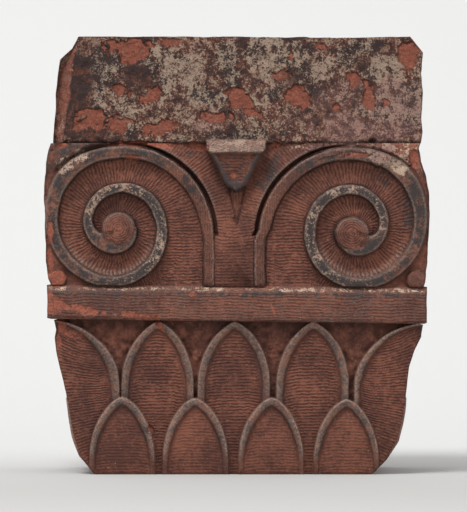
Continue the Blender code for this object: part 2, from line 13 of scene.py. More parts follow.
import bpy
import numpy as np
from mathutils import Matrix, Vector

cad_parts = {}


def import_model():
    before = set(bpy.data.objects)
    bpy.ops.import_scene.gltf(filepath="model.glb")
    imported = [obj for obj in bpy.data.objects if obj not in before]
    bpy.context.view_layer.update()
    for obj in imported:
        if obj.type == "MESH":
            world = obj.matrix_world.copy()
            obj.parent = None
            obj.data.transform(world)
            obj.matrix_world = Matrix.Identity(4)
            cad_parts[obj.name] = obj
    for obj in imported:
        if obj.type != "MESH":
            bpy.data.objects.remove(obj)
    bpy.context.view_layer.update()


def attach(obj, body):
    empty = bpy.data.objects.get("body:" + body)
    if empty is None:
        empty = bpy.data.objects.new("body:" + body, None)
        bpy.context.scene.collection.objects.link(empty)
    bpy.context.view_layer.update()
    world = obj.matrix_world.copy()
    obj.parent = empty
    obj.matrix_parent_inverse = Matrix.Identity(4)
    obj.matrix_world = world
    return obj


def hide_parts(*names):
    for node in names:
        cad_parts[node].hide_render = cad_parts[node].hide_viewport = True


MM = 0.001
STONE_NODE = "pilaster_capital"
NOISE_SEED = 20
COMB_PITCH = 3.15  # distance between two lines of the comb chisel
FIELD_LEVEL = -2.0  # level of the ground of the volute course
HALF_WIDTH = 190.0  # half width over which the tilt of a course is measured
LOG = logging.getLogger("capital")

Grid = np.ndarray
Colour = tuple[float, float, float, float]
Socket = bpy.types.NodeSocket


class Side(Enum):
    """The two sides of the capital, by the sign of their x."""

    LEFT = -1
    RIGHT = 1


class Mask(Enum):
    """The values that each point of the stone carries for its finish, and for the shade and highlights
    painted on it.
    """

    COMB = "comb_phase"
    TOOLED = "tooled"
    PROUD = "proud"
    # painted shade, laid where shade falls: in slits, grooves, pits and under overhangs
    HOLLOW = "hollow"
    FRESH = "fresh"
    CRUST = "crust"
    SOOT = "soot"
    # painted highlight along lit edges, rims and ridges
    EDGE = "pale_edge"
    ROUGH = "rough"
    PINK = "pink_crust"


Run = tuple[Grid, dict[Mask, Grid]]
WALL_FINISH = {Mask.TOOLED: 0.25, Mask.SOOT: 0.35}
BED_FINISH = {Mask.SOOT: 0.45, Mask.TOOLED: 0.3, Mask.CRUST: 0.3, Mask.ROUGH: 0.4}


def ease(low: float, high: float, value: Grid) -> Grid:
    """Return a smooth step from 0 at low to 1 at high.

    Args:
        low: Value where the step starts.
        high: Value where it ends.
        value: Values to read.

    Returns:
        The eased share of each value.
    """
    share = np.clip((value - low) / (high - low), 0.0, 1.0)
    return share * share * (3 - 2 * share)


def mix(first: Grid, second: Grid, share: Grid) -> Grid:
    """Return first turned into second by a share from 0 to 1."""
    return first + (second - first) * share


def hump(off: Grid, width: float) -> Grid:
    """Return a smooth hump that is 1 where off is 0 and falls away over a width."""
    return np.exp(-((off / width) ** 2))


class StoneNoise:
    """Smooth seeded noise over space, for all that wear and rough tooling do."""

    def __init__(self, seed: int, cells: int = 48) -> None:
        """Fill a repeating lattice.

        Args:
            seed: Seed of the lattice.
            cells: Cells of the lattice each way before it repeats.
        """
        self.cells = cells
        self.lattice = np.random.default_rng(seed).random((cells,) * 3, dtype=np.float32) * 2 - 1

    def at(self, x: Grid, y: Grid, z: Grid, size: float) -> Grid:
        """Return one octave of noise.

        Args:
            x: Places across.
            y: Places in depth.
            z: Heights.
            size: Size of a cell.

        Returns:
            Values from -1 to 1.
        """
        parts = []
        for value in np.broadcast_arrays(x, y, z):
            scaled = np.asarray(value, np.float32) / size + 1000.37
            whole = np.floor(scaled)
            share = scaled - whole
            parts.append((whole.astype(np.int32) % self.cells, share * share * (3 - 2 * share)))
        (ix, fx), (iy, fy), (iz, fz) = parts
        jx, jy, jz = (ix + 1) % self.cells, (iy + 1) % self.cells, (iz + 1) % self.cells
        data = self.lattice
        low, high = (
            mix(*(mix(data[ix, ky, kz], data[jx, ky, kz], fx) for ky in (iy, jy)), fy)
            for kz in (iz, jz)
        )
        return mix(low, high, fz)

    def rough(self, x: Grid, y: Grid, z: Grid, size: float, octaves: int = 3) -> Grid:
        """Return several octaves of noise, each half the size and strength of the one before.

        Args:
            x: Places across.
            y: Places in depth.
            z: Heights.
            size: Size of the largest cell.
            octaves: Number of octaves.

        Returns:
            Values from about -1 to 1.
        """
        total = self.at(x, y, z, size)
        for octave in range(1, octaves):
            total = total + self.at(x, y, z, size / 2**octave) / 2**octave
        return total / 1.6


@dataclass(frozen=True)
class Stations:
    """An outline read off at stations of height."""

    heights: tuple[float, ...]
    places: tuple[float, ...]

    def at(self, height: Grid) -> Grid:
        """Return the outline's place at a height."""
        return np.interp(height, self.heights, self.places)


@dataclass
class Relief:
    """The carved surface of one face, with the values for its finish and for its painted shade and
    highlights.
    """

    level: Grid
    comb: Grid
    tooled: Grid
    proud: Grid
    # painted shade where shade falls in the carving
    hollow: Grid
    fresh: Grid
    crust: Grid
    soot: Grid
    # painted highlight along lit edges, rims and ridges
    edge: Grid
    rough: Grid
    pink: Grid

    @classmethod
    def flat(cls, like: Grid, level: float) -> Relief:
        """Return a plain surface at a level.

        Args:
            like: Grid with the shape wanted.
            level: Level of the surface.

        Returns:
            The plain relief.
        """
        return cls(np.full_like(like, level), *(np.zeros_like(like) for _ in range(10)))

    def part(self, window: tuple[slice, slice]) -> Relief:
        """Return the piece of the surface inside a window."""
        return Relief(*(value[window] for value in vars(self).values()))

    def put(self, window: tuple[slice, slice], piece: Relief) -> None:
        """Put a piece of surface back into its window."""
        for name, value in vars(piece).items():
            getattr(self, name)[window] = value

    def lay(self, over: Grid, **values: Grid | float) -> None:
        """Lay new values over the surface where a mask says.

        Args:
            over: Share of the new value at each point.
            values: New grids or numbers, by the name of what they set.
        """
        for name, value in values.items():
            setattr(self, name, mix(getattr(self, name), value, over))

    def darken(self, more: Grid) -> None:
        """Add shade to the hollows, up to full shade."""
        self.hollow = np.clip(self.hollow + more, 0, 1)

    def take(self, source: Relief, where: Grid) -> None:
        """Copy another surface into this one.

        Args:
            source: Surface to copy.
            where: Which points to copy.
        """
        for name, value in vars(source).items():
            setattr(self, name, np.where(where, value, getattr(self, name)))

    def finish(self, columns: slice | int = slice(None)) -> dict[Mask, Grid]:
        """Return the finish values by mask, of every column or of some."""
        return {mask: getattr(self, mask.name.lower())[:, columns] for mask in Mask}


@dataclass(frozen=True)
class Courses:
    """The block's courses and outline."""

    bar_foot: float = 154.6
    bar_arris: float = 183.2
    bar_top: float = 190.0
    abacus_foot: float = 333.0
    height: float = 440.0
    depth: float = 203.0
    block_depth: float = 185.0
    bar_level: float = 10.0
    bell_level: float = 6.0
    tilt: Stations = Stations((0, 105, 154.6, 183.2, 333, 440), (0, 0, 2.5, 1.1, 0, 0))
    left: Stations = Stations(
        (0, 3, 18, 38, 59, 80, 104, 123, 136, 144, 154.5, 154.7, 190, 190.2, 196, 215, 261, 276, 290,
         312, 326, 332.9, 333.1, 355, 369, 383, 400, 417, 428, 440),
        (144.5, 147.5, 159, 166, 169.5, 173, 178.7, 182.6, 183.7, 181.9, 183, 190, 190.3, 186, 188.7,
         191, 192.7, 193.6, 193.2, 191, 188.8, 186.5, 185.6, 183.7, 181.8, 182.2, 179.8, 177.2, 165, 159),
    )
    right: Stations = Stations(
        (0, 2, 14, 33, 52, 66, 87, 108, 125, 140, 154.5, 154.7, 190, 190.2, 195, 213, 234, 259, 283,
         302, 315, 328, 332.9, 333.1, 344, 358, 386, 403, 424, 440),
        (137.5, 140.5, 151.6, 162.8, 167.7, 170.5, 172.6, 174.8, 179.6, 185.8, 186.6, 190.6, 190.8, 187.4,
         189, 191, 192.2, 193.4, 193, 189.2, 184.2, 182.6, 184.5, 185.4, 187.3, 186.3, 187.5, 185.5,
         186.8, 174.5),
    )

    @property
    def wall_y(self) -> float:
        """Return the place of the wall side."""
        return self.depth / 2

    @property
    def face_y(self) -> float:
        """Return the place of the abacus face."""
        return self.wall_y - self.block_depth

    def front_inset(self, height: Grid) -> Grid:
        """Return how far the bell's front has drawn in at a height.

        Args:
            height: Heights above the bed.

        Returns:
            The inset against the bell's place under the bar.
        """
        down = np.clip(1 - height / self.bar_foot, 0, 1)
        foot = np.clip(1 - height / 60.0, 0, 1)
        return 22.0 * down**0.65 + 7.0 * foot**2.2


@dataclass(frozen=True)
class LeafShape:
    """One leaf: an outer arch and an inner arch, with a raised rim between them."""

    middle: float
    tip: float
    half: float = 37.0
    arch: float = 64.0
    power: float = 0.72
    inner_half: float = 28.0
    inner_arch: float = 60.0
    inner_power: float = 0.75
    inner_drop: float = 9.8
    lift: float = 0.0
    lean: float = 0.012
    fade_from: float = -99.0

    def within(self, along: Grid, height: Grid) -> Grid:
        """Return where the leaf lies.

        Args:
            along: Places along the face.
            height: Heights.

        Returns:
            True inside its outline.
        """
        below = self.tip - height
        offset = along - self.middle + self.lean * below
        return self.inside(offset, below, self.half, self.arch, self.power) > 0

    @staticmethod
    def inside(along: Grid, below: Grid, half: float, arch: float, power: float) -> Grid:
        """Return about how far each point lies inside an arch.

        Args:
            along: Distance from the arch's middle line.
            below: Distance below its tip.
            half: Half width of its straight part.
            arch: Height of its curved part.
            power: How full its curve is.

        Returns:
            Distances, below 0 outside the arch.
        """
        across = np.clip(np.abs(along) / half, 1e-4, None)
        up = np.clip(1 - below / arch, 0, None)
        value = across ** (1 / power) + up * up
        slope_across = across ** (1 / power - 1) / (power * half)
        slope_up = 2 * up / arch
        return (1 - value) / np.clip(np.hypot(slope_across, slope_up), 0.006, None)


def low_leaf(middle: float, tip: float, lift: float = 3.4) -> LeafShape:
    """Return a leaf of the lower row, which fades into the foot."""
    return LeafShape(middle, tip, 33.5, 64, 0.63, 27, 60, 0.75, 9.5, lift, lean=0.0, fade_from=4.0)


def corner_leaf(middle: float, tip: float, inner: float, arch: float, drop: float) -> LeafShape:
    """Return the wide leaf that turns round a front corner."""
    return LeafShape(middle, tip, 70, 66, 0.56, inner, arch, 0.56, drop, lean=0.0)


@dataclass(frozen=True)
class Leaves:
    """Both rows of scale leaves on one face of the bell."""

    upper: tuple[LeafShape, ...]
    lower: tuple[LeafShape, ...]
    corners: tuple[LeafShape, ...]
    ground: float = -9.0
    rim_rise: float = 3.2
    pitch: float = COMB_PITCH

    def carve(self, relief: Relief, along: Grid, height: Grid, noise: StoneNoise) -> None:
        """Carve the leaves into a face.

        Args:
            relief: Surface to carve, whose level is set off the rims.
            along: Places along the face.
            height: Heights.
            noise: Noise for the hand's wavering.
        """
        waver = noise.at(along, 7.0, height, 26.0) * 0.35 + noise.at(along, 9.0, height, 9.0) * 0.2
        picked = noise.rough(along, 3.0, height, 6.5, 3)
        relief.level = self.ground + picked * 3.2
        # painted shade in the low pits of the picked ground
        relief.hollow = np.clip(0.14 - 0.9 * picked, 0, 1)
        relief.tooled = np.zeros_like(along)
        for leaf in self.upper:
            bowed = (height + 0.004 * (along - leaf.middle) ** 2) / self.pitch + waver
            self.leaf(relief, leaf, along, height, bowed, waver)
        for leaf in self.corners:
            reach = np.abs(along - leaf.middle)
            fan = height + reach * 0.75 * ease(20, 150, height) - 0.006 * reach**2
            self.leaf(relief, leaf, along, height, fan / (self.pitch * 1.12) + waver * 1.5, waver)
        for leaf in self.lower:
            arched = (height + 0.003 * (along - leaf.middle) ** 2) / self.pitch + waver
            self.leaf(relief, leaf, along, height, arched, waver)
            relief.tooled = np.where(leaf.within(along, height), 0.55 * relief.tooled, relief.tooled)

    def leaf(
        self, relief: Relief, leaf: LeafShape, along: Grid, height: Grid, comb: Grid, waver: Grid,
    ) -> None:
        """Lay one leaf over what is behind it.

        Args:
            relief: Surface to carve.
            leaf: The leaf.
            along: Places along the face.
            height: Heights.
            comb: Count of tooling lines at each point.
            waver: The hand's wavering at each point.
        """
        below = leaf.tip - height
        offset = along - leaf.middle + leaf.lean * below
        outer = leaf.inside(offset, below, leaf.half, leaf.arch, leaf.power)
        dropped = below - leaf.inner_drop
        inner = leaf.inside(offset, dropped, leaf.inner_half, leaf.inner_arch, leaf.inner_power)
        wobble = waver * 1.3
        outer, inner = outer + wobble, inner + wobble
        kept = ease(leaf.fade_from, leaf.fade_from + 26, height)
        share = np.clip(outer / np.clip(outer - inner, 1.0, None), 0, 1)
        crown = np.clip((1 - np.abs(2 * share - 1) ** 3.0) * 1.25, 0, 1) * (inner < 0)
        dome = 0.8 * ease(0, 14, inner)
        level = leaf.lift - self.rim_rise + self.rim_rise * crown * (0.35 + 0.65 * kept) + dome
        over = ease(-0.5, 1.1, outer)
        # Painted shade in the groove inside the rim and in the strip just outside it; painted highlight
        # along the rim's outer edge, where it catches the light, and faintly over its crown.
        groove = hump(inner - 0.3, 1.6) * kept
        relief.darken(0.45 * kept * hump(outer + 1.4, 2.0))
        edge = hump(outer - 1.3, 1.2) * kept
        relief.lay(
            over,
            level=level,
            comb=comb,
            tooled=np.clip(ease(0.0, 2.0, inner) + 0.4 * (1 - kept), 0, 1),
            proud=crown * (0.2 + 0.45 * kept),
            crust=0.1 * crown * kept,
            soot=(0.45 + 0.5 * waver) * crown * kept,
            hollow=np.clip(groove * 0.55, 0, 1),
            edge=np.maximum(edge, 0.14 * crown * kept),
            rough=0.2 * crown,
        )


@dataclass(frozen=True)
class Turns:
    """Where a volute's band runs round its centre and how wide it is, by the degrees it has wound."""

    wound: tuple[float, ...] = (
        -90, -45, 0, 45, 90, 135, 180, 225, 270, 315, 360, 405, 450, 472, 495, 517, 540, 585, 607, 630,
    )
    middle: tuple[float, ...] = (
        14.7, 18.5, 21.8, 24.0, 28.2, 33.7, 39.8, 43.3, 44.8, 49.3, 54.6, 57.8, 64.5, 69.0, 73.6, 74.8,
        74.8, 81.5, 85.6, 90.4,
    )
    half: tuple[float, ...] = (
        5, 5, 5, 5, 5.1, 5.2, 5.4, 5.8, 6, 6, 5.7, 6.2, 6.5, 7.8, 8.6, 7.2, 6.2, 6.6, 6.9, 6.2,
    )
    easing: int = 25

    def smooth(self, values: tuple[float, ...]) -> tuple[Grid, Grid]:
        """Return the stations as a smooth run, degree by degree.

        Args:
            values: One value for each station.

        Returns:
            The degrees and the values there.
        """
        reach = self.easing // 2
        degrees = np.arange(self.wound[0] - reach, self.wound[-1] + reach + 1)
        run = np.interp(degrees, self.wound, values)
        start = degrees[:reach] - self.wound[0]
        run[:reach] += start * (values[1] - values[0]) / (self.wound[1] - self.wound[0])
        slope = (values[-1] - values[-2]) / (self.wound[-1] - self.wound[-2])
        run[-reach:] += (degrees[-reach:] - self.wound[-1]) * slope
        return degrees[reach:-reach], np.convolve(run, np.ones(self.easing) / self.easing, "valid")

    def radius(self, around: Grid) -> Grid:
        """Return the distance of the band's middle line from the centre."""
        return np.interp(around, *self.smooth(self.middle))

    def width(self, around: Grid) -> Grid:
        """Return the band's half width."""
        return np.interp(around, *self.smooth(self.half))

    def lines(self, around: Grid, pitch: float) -> Grid:
        """Return the count of comb lines along the channel outside the band, up to an angle.

        Args:
            around: Degrees that the band inside the channel has wound.
            pitch: Distance between two lines in the middle of the channel.

        Returns:
            The counts.
        """
        degrees = np.arange(-360, self.wound[-1] + 1)
        middle = (self.radius(degrees) + self.radius(degrees + 360)) / 2
        return np.interp(around, degrees, np.cumsum(np.radians(middle)) / pitch)


@dataclass(frozen=True)
class Volute:
    """One volute: a band that winds out from the eye, curls over and runs down as a stem."""

    side: Side
    eye_x: float
    eye_z: float
    centre_x: float
    centre_z: float
    stem_x: float
    turns: Turns = Turns()
    stem_top: float = 232.5
    stem_half: float = 5.8
    eye_radius: float = 17.2
    eye_rise: float = 8.6
    band_rise: float = 8.5
    pitch: float = 3.3
    slit_from: float = 548.0
    slit_foot: float = 240.5
    slit_clear: float = 8.4
    slit_half: float = 1.7
    slit_level: float = -9.0

    def carve(self, relief: Relief, x: Grid, z: Grid, noise: StoneNoise) -> tuple[Grid, Grid]:
        """Carve the volute into the field.

        Args:
            relief: Surface to carve.
            x: Places across.
            z: Heights.
            noise: Noise for the hand's wavering.

        Returns:
            Distance outside the outermost band, as if its half width were 6, for what stands next to it,
            and the degrees wound by that band at each point's bearing.
        """
        own = (x - self.centre_x) * -self.side.value
        up = z - self.centre_z
        reach = np.hypot(own, up)
        bearing = np.mod(270 - np.degrees(np.arctan2(up, own)), 360)
        first, last = self.turns.wound[0], self.turns.wound[-1]
        away = np.full_like(x, 99.0)
        half = np.full_like(x, 6.0)
        winding = np.full_like(x, 0.0)
        inner_turn = bearing - 360
        for turn in (-360, 0, 360):
            around = bearing + turn
            there = (around >= first) & (around <= last)
            offset = reach - self.turns.radius(around)
            width = self.turns.width(around)
            nearer = there & (np.abs(offset) - width < np.abs(away) - half)
            away, half, winding = (
                np.where(nearer, new, old)
                for new, old in ((offset, away), (width, half), (around, winding))
            )
            inner_turn = np.where((offset > 0) & there, around, inner_turn)
        start_own = float(self.turns.radius(last))
        stem_own = (self.stem_x - self.centre_x) * -self.side.value
        down = np.clip(-up / (self.centre_z - self.stem_top), 0, 1)
        stem = own - (start_own + (stem_own - start_own) * np.sin(down * math.pi / 2))
        beside_stem = (up < 0) & (own > 0)
        on_stem = beside_stem & (np.abs(stem) - self.stem_half < np.abs(away) - half)
        away, half, winding = (
            np.where(on_stem, new, old)
            for new, old in ((stem, away), (self.stem_half, half), (last, winding))
        )
        outer_turn = np.where(bearing < 270, bearing + 360, bearing)
        outside = reach - self.turns.radius(outer_turn) - self.turns.width(outer_turn) + 6
        outside = np.where(beside_stem, stem - self.stem_half + 6, outside)
        self.comb_channel(relief, own, up, inner_turn, outside < 0, noise, x, z)
        self.raise_eye(relief, x, z, noise)
        self.raise_band(relief, away, half, winding, x, z, noise)
        outer_turn = np.where(beside_stem, float(last), outer_turn)
        self.cut_slit(relief, outside, outer_turn, z)
        return outside, outer_turn

    def comb_channel(
        self, relief: Relief, own: Grid, up: Grid, inner_turn: Grid, channel: Grid, noise: StoneNoise,
        x: Grid, z: Grid,
    ) -> None:
        """Dish and comb the channel between the turns.

        Args:
            relief: Surface to carve.
            own: Places across from the centre, toward the stem.
            up: Heights from the centre.
            inner_turn: Degrees wound by the turn inside each point.
            channel: Where the channel is.
            noise: Noise for the hand's wavering.
            x: Places across.
            z: Heights.
        """
        reach = np.hypot(own, up)
        inner = self.turns.radius(inner_turn) + self.turns.width(inner_turn)
        inner = np.where(inner_turn < self.turns.wound[0], self.eye_radius, inner)
        outer = self.turns.radius(inner_turn + 360) - self.turns.width(inner_turn + 360)
        share = np.clip((reach - inner) / np.clip(outer - inner, 1, None), 0, 1)
        dish = 2.6 * (1 - np.abs(2 * share - 1) ** 2.2)
        waver = noise.at(x, 5.0, z, 22.0) * 0.35 + noise.at(x, 6.0, z, 8.0) * 0.22
        comb = self.turns.lines(inner_turn, self.pitch)
        level_turn = self.turns.lines(np.full_like(comb, 270.0), self.pitch)
        straight = (own > 40) & (up < 0)
        comb = np.where(straight, level_turn - up / COMB_PITCH, comb)
        over = channel.astype(np.float32)
        # Painted highlight, with some dust, on the ridges low in the channel next to the outer band,
        # where they face up.
        low = ease(5, 35, -up) * ease(0.6, 1.0, share) * ease(120, 100, own)
        relief.lay(over, comb=comb + waver, tooled=1.0, edge=0.95 * low * (inner_turn < 200))
        relief.level = relief.level - dish * over

    def raise_band(
        self, relief: Relief, away: Grid, half: Grid, winding: Grid, x: Grid, z: Grid, noise: StoneNoise,
    ) -> None:
        """Raise the band and its stem.

        Args:
            relief: Surface to carve.
            away: Distance from the band's middle line, above 0 outside it.
            half: The band's half width there.
            winding: Degrees wound by the band there.
            x: Places across.
            z: Heights.
            noise: Noise for the band's worn edges.
        """
        edge = half + noise.at(x, 2.0, z, 11.0) * 0.45 + noise.at(x, 2.5, z, 4.0) * 0.2
        off = np.where(away < 0, -away * ease(30, 110, winding), away)
        stem = ease(545, 605, winding)
        over = 1 - ease(edge - 1.1, edge + 0.7, off)
        rounded = 1.6 * np.clip(off / edge, 0, 1) ** 2.4 + noise.at(x, 2.7, z, 7.0) * 0.25
        level = FIELD_LEVEL + self.band_rise - rounded - 3.2 * stem
        flank = hump(off - edge - 1.2, 1.6)
        relief.darken(0.6 * flank * (1 - 0.5 * stem))
        relief.level = relief.level + 0.8 * np.exp(-np.clip(off - edge, 0, None) / 2.5) * (off < 14)
        inner_band = ease(430, 300, winding) * ease(60, 110, winding)
        # Painted highlight along the band's edges, strongest inside the outer edge of the last turn
        # beside the slit.
        pale = hump(away - edge + 1.2, 0.9) * ease(500, 560, winding)
        rim = hump(off - edge + 1.6, 1.1)
        in_eye = over * (relief.level > 3.0) * (winding < 60)
        relief.level = np.maximum(relief.level, mix(relief.level, level, over))
        over = over * (1 - in_eye)
        relief.lay(
            over,
            tooled=0.6 * stem,
            comb=x / 2.4 + noise.at(x, 2.2, z, 9.0) * 0.4,
            proud=(0.95 - 0.3 * ease(0.5, 1.0, off / edge)) * (1 - 0.7 * stem),
            hollow=0.0,
            soot=(0.55 + 0.3 * inner_band + 0.4 * noise.at(x, 2.9, z, 24.0)) * (1 - 0.8 * stem),
            crust=0.12 + 0.16 * inner_band,
            edge=np.maximum(pale, 0.5 * rim * (1 - stem)),
            rough=0.3,
        )

    def raise_eye(self, relief: Relief, x: Grid, z: Grid, noise: StoneNoise) -> None:
        """Raise the round eye with its concentric grooves.

        Args:
            relief: Surface to carve.
            x: Places across.
            z: Heights.
            noise: Noise for the eye's worn edge.
        """
        reach = np.hypot(x - self.eye_x, z - self.eye_z)
        edge = self.eye_radius + noise.at(x, 4.0, z, 9.0) * 0.5
        over = 1 - ease(edge - 1.0, edge + 0.9, reach)
        level = FIELD_LEVEL + self.eye_rise - 2.2 * (reach / edge) ** 3.2
        # The eye's rim gets slate and a painted highlight on its upper half only, where light from above
        # falls.
        ring = hump(reach - edge * 0.9, 2.6) * ease(-8, 8, z - self.eye_z)
        flank = hump(reach - edge - 1.4, 1.8)
        relief.darken(0.7 * flank * (1 - over))
        relief.lay(
            over,
            level=level,
            comb=reach / 2.3,
            tooled=0.8,
            proud=0.8 * ring,
            hollow=0.0,
            edge=0.3 * ring,
        )

    def cut_slit(self, relief: Relief, outside: Grid, around: Grid, z: Grid) -> None:
        """Cut the deep slit outside the band.

        Args:
            relief: Surface to carve.
            outside: Distance outside the outermost band.
            around: Degrees wound by the outermost band there.
            z: Heights.
        """
        along = ease(self.slit_from - 6, self.slit_from + 14, around)
        reach = along * ease(self.slit_foot - 0.8, self.slit_foot + 0.8, z)
        width = self.slit_half * (0.45 + 0.55 * ease(self.slit_from, self.slit_from + 45, around))
        across = 1 - ease(width - 0.5, width + 0.6, np.abs(outside - self.slit_clear))
        # The slit is painted dark with shade.
        relief.lay(across * reach, level=self.slit_level, tooled=0.0, proud=0.0, hollow=0.85, edge=0.0)


@dataclass(frozen=True)
class Calyx:
    """The panel between the stems, which opens upward into two flared flanges."""

    axis: float = -1.8
    panel_top: float = 241.0
    rise: float = 5.0
    pitch: float = COMB_PITCH
    fold_x: float = 0.2
    fold_half: float = 7.5
    fold_top: float = 284.0
    fold_foot: float = 252.0

    def carve(self, relief: Relief, x: Grid, z: Grid, left: Grid, right: Grid, noise: StoneNoise) -> None:
        """Carve the panel and the flanges between the two volutes.

        Args:
            relief: Surface to carve.
            x: Places across.
            z: Heights.
            left: Distance outside the left volute's band.
            right: Distance outside the right volute's band.
            noise: Noise for the hand's wavering.
        """
        away = np.minimum(left, right)
        between = ease(5.5, 6.6, away) * (z > 188) * (z < 333.2) * (np.abs(x - self.axis) < 88)
        opened = ease(self.panel_top - 6, self.panel_top + 46, z)
        beside = np.clip((away - 10.5) / 20.0, 0, 1)
        flange = 6.5 - 9.5 * beside**0.75
        level = mix(self.rise, flange, opened) + FIELD_LEVEL
        lip = hump(away - 11.6, 1.5) * opened
        waver = noise.at(x, 5.0, z, 22.0) * 0.3 + noise.at(x, 6.0, z, 8.0) * 0.12
        comb = (z - 0.006 * (x - self.axis) ** 2 * ease(200, 250, z)) / self.pitch + waver
        # Painted shade in the seams along the stems and over the deep inner flanges; painted highlight on
        # the flanges' lips.
        seam = hump(away - 6.9, 0.9) * (1 - opened)
        relief.lay(
            between,
            level=level + 1.2 * lip,
            comb=comb,
            tooled=0.8,
            proud=0.55 * lip,
            edge=0.35 * lip,
            hollow=np.clip(0.4 * seam + 0.3 * beside * opened, 0, 1),
        )

    def fold_in(self, relief: Relief, x: Grid, z: Grid) -> None:
        """Cut the narrow fold that runs to a point below the tongue.

        Args:
            relief: Surface to carve.
            x: Places across.
            z: Heights.
        """
        half = self.fold_half * np.clip((z - self.fold_foot) / (self.fold_top - self.fold_foot), 0, 1)
        inside = half - np.abs(x - self.fold_x)
        over = ease(-1.2, 1.2, inside) * (z > self.fold_foot)
        side = hump(inside - 0.2, 1.1) * (z > self.fold_foot)
        relief.lay(over, level=relief.level - 0.7, comb=x / 2.6, tooled=0.6)
        relief.darken(0.1 * side)

    def comb_flanges(self, relief: Relief, volute: Volute, x: Grid, z: Grid, outside: Grid) -> None:
        """Turn the flange's tooling square to the band beside it.

        Args:
            relief: Surface to carve.
            volute: The volute beside the flange.
            x: Places across.
            z: Heights.
            outside: Distance outside that volute's band.
        """
        own = (x - volute.centre_x) * -volute.side.value
        up = z - volute.centre_z
        turn = np.arctan2(up, own)
        lines = (volute.centre_z + 100.0 * turn) / self.pitch
        ours = (x - self.axis) * volute.side.value > 0
        place = ours & (outside > 6) & (outside < 40) & (up > 6) & (np.abs(x - self.axis) > 2) & (z < 333)
        relief.comb = np.where(place, lines, relief.comb)


@dataclass(frozen=True)
class Tongue:
    """The tongue that hangs from the abacus between the flanges."""

    middle: float = -0.6
    top: float = 337.0
    foot: float = 286.0
    ledge_foot: float = 322.5
    projection: float = 17.0
    edges: Stations = Stations(
        (284, 290, 294, 303, 311.5, 321, 327, 340), (0, 9.5, 12.5, 16.5, 20.5, 25.5, 30, 30.5),
    )

    def carve(self, relief: Relief, x: Grid, z: Grid, noise: StoneNoise) -> None:
        """Lay the tongue over the flanges and the foot of the abacus.

        Args:
            relief: Surface to carve.
            x: Places across.
            z: Heights.
            noise: Noise for the tongue's worn edges.
        """
        half = self.edges.at(z)
        offset = x - self.middle + noise.at(x, 2.0, z, 12.0) * 0.6
        inside = half - np.abs(offset)
        over = ease(-0.3, 1.4, inside) * (z > self.foot - 2)
        over = over * (1 - ease(self.top - 1.5, self.top + 1.0, z))
        fall = np.clip((self.top - z) / (self.top - self.foot), 0, 1)
        body = mix(self.projection, self.projection - 7.0, fall)
        ledge = ease(self.ledge_foot - 1.5, self.ledge_foot + 2.0, z)
        slope = 3.0 + (self.projection - 3.0) * np.clip((self.top - z) / 12.0, 0, 1)
        inner = ease(4.5, 7.0, inside) * (1 - ledge) * ease(self.foot + 6, self.foot + 10, z)
        rounded = 3.0 * (1 - np.clip(inside / 5.0, 0, 1)) ** 2
        level = mix(body - 3.2 * inner - rounded, slope, ledge)
        shade = hump(np.abs(offset) - half - 2.2, 3.0) * (z > self.foot - 4) * (z < self.top)
        relief.darken(0.55 * shade)
        # Painted shade in the tongue's sunk panel; the ledge's top, which faces up, gets pale crust and a
        # painted highlight.
        relief.lay(
            over,
            level=level,
            comb=z / COMB_PITCH,
            tooled=0.7 * inner,
            proud=np.clip(1 - inner, 0, 1),
            hollow=0.2 * inner,
            soot=0.9 * (1 - 0.7 * inner) * (1 - ledge),
            crust=0.3 * ledge,
            edge=0.6 * ledge,
            rough=0.4 * ledge,
        )


@dataclass(frozen=True)
class Chip:
    """One place where the stone has broken, flaked or been scraped."""

    x: float
    z: float
    long: float
    short: float
    turn: float
    depth: float
    fresh: float = 1.0
    lowered: float | None = None

    def knock(self, relief: Relief, x: Grid, z: Grid, noise: StoneNoise) -> None:
        """Take the chip off the surface.

        Args:
            relief: Surface to chip.
            x: Places across.
            z: Heights.
            noise: Noise for its ragged outline.
        """
        window = window_round(self.x, self.z, 1.6 * self.long, x, z)
        whole, relief = relief, relief.part(window)
        x, z = x[window], z[window]
        reach = oval(self.x, self.z, self.long, self.short, self.turn, x, z)
        size = max(2.5, 0.7 * self.short)
        ragged = noise.rough(x, 11.0, z, size, 4) * 0.75 + noise.rough(x, 13.0, z, 3.0, 2) * 0.15
        over = 1 - ease(0.72, 0.9, reach + ragged)
        grit = noise.rough(x, 12.0, z, 5.0, 3)
        floor = relief.level - self.depth * (0.75 + 0.45 * grit)
        if self.lowered is not None:
            floor = np.minimum(relief.level, self.lowered + grit * 0.9)
        relief.lay(
            over,
            level=floor,
            tooled=relief.tooled * 0.25,
            proud=relief.proud * 0.15,
            fresh=self.fresh * (0.85 + 0.25 * grit),
            hollow=relief.hollow * 0.5,
            soot=relief.soot * 0.15,
            crust=relief.crust * 0.2,
            edge=0.0,
            rough=relief.rough * 0.35,
            pink=relief.pink * 0.4,
        )
        whole.put(window, relief)


def window_round(middle_x: float, middle_z: float, reach: float, x: Grid, z: Grid) -> tuple[slice, slice]:
    """Return the rows and columns of a face that lie within a reach of a place.

    Args:
        middle_x: Place across.
        middle_z: Height.
        reach: Distance that must be inside.
        x: Places across.
        z: Heights.

    Returns:
        The rows and the columns, both at least one wide.
    """
    rows = np.flatnonzero(np.abs(z[:, z.shape[1] // 2] - middle_z) < reach + 5)
    columns = np.flatnonzero(np.abs(x[x.shape[0] // 2] - middle_x) < reach + 12)
    return slice(rows[0], rows[-1] + 1), slice(columns[0], columns[-1] + 1)


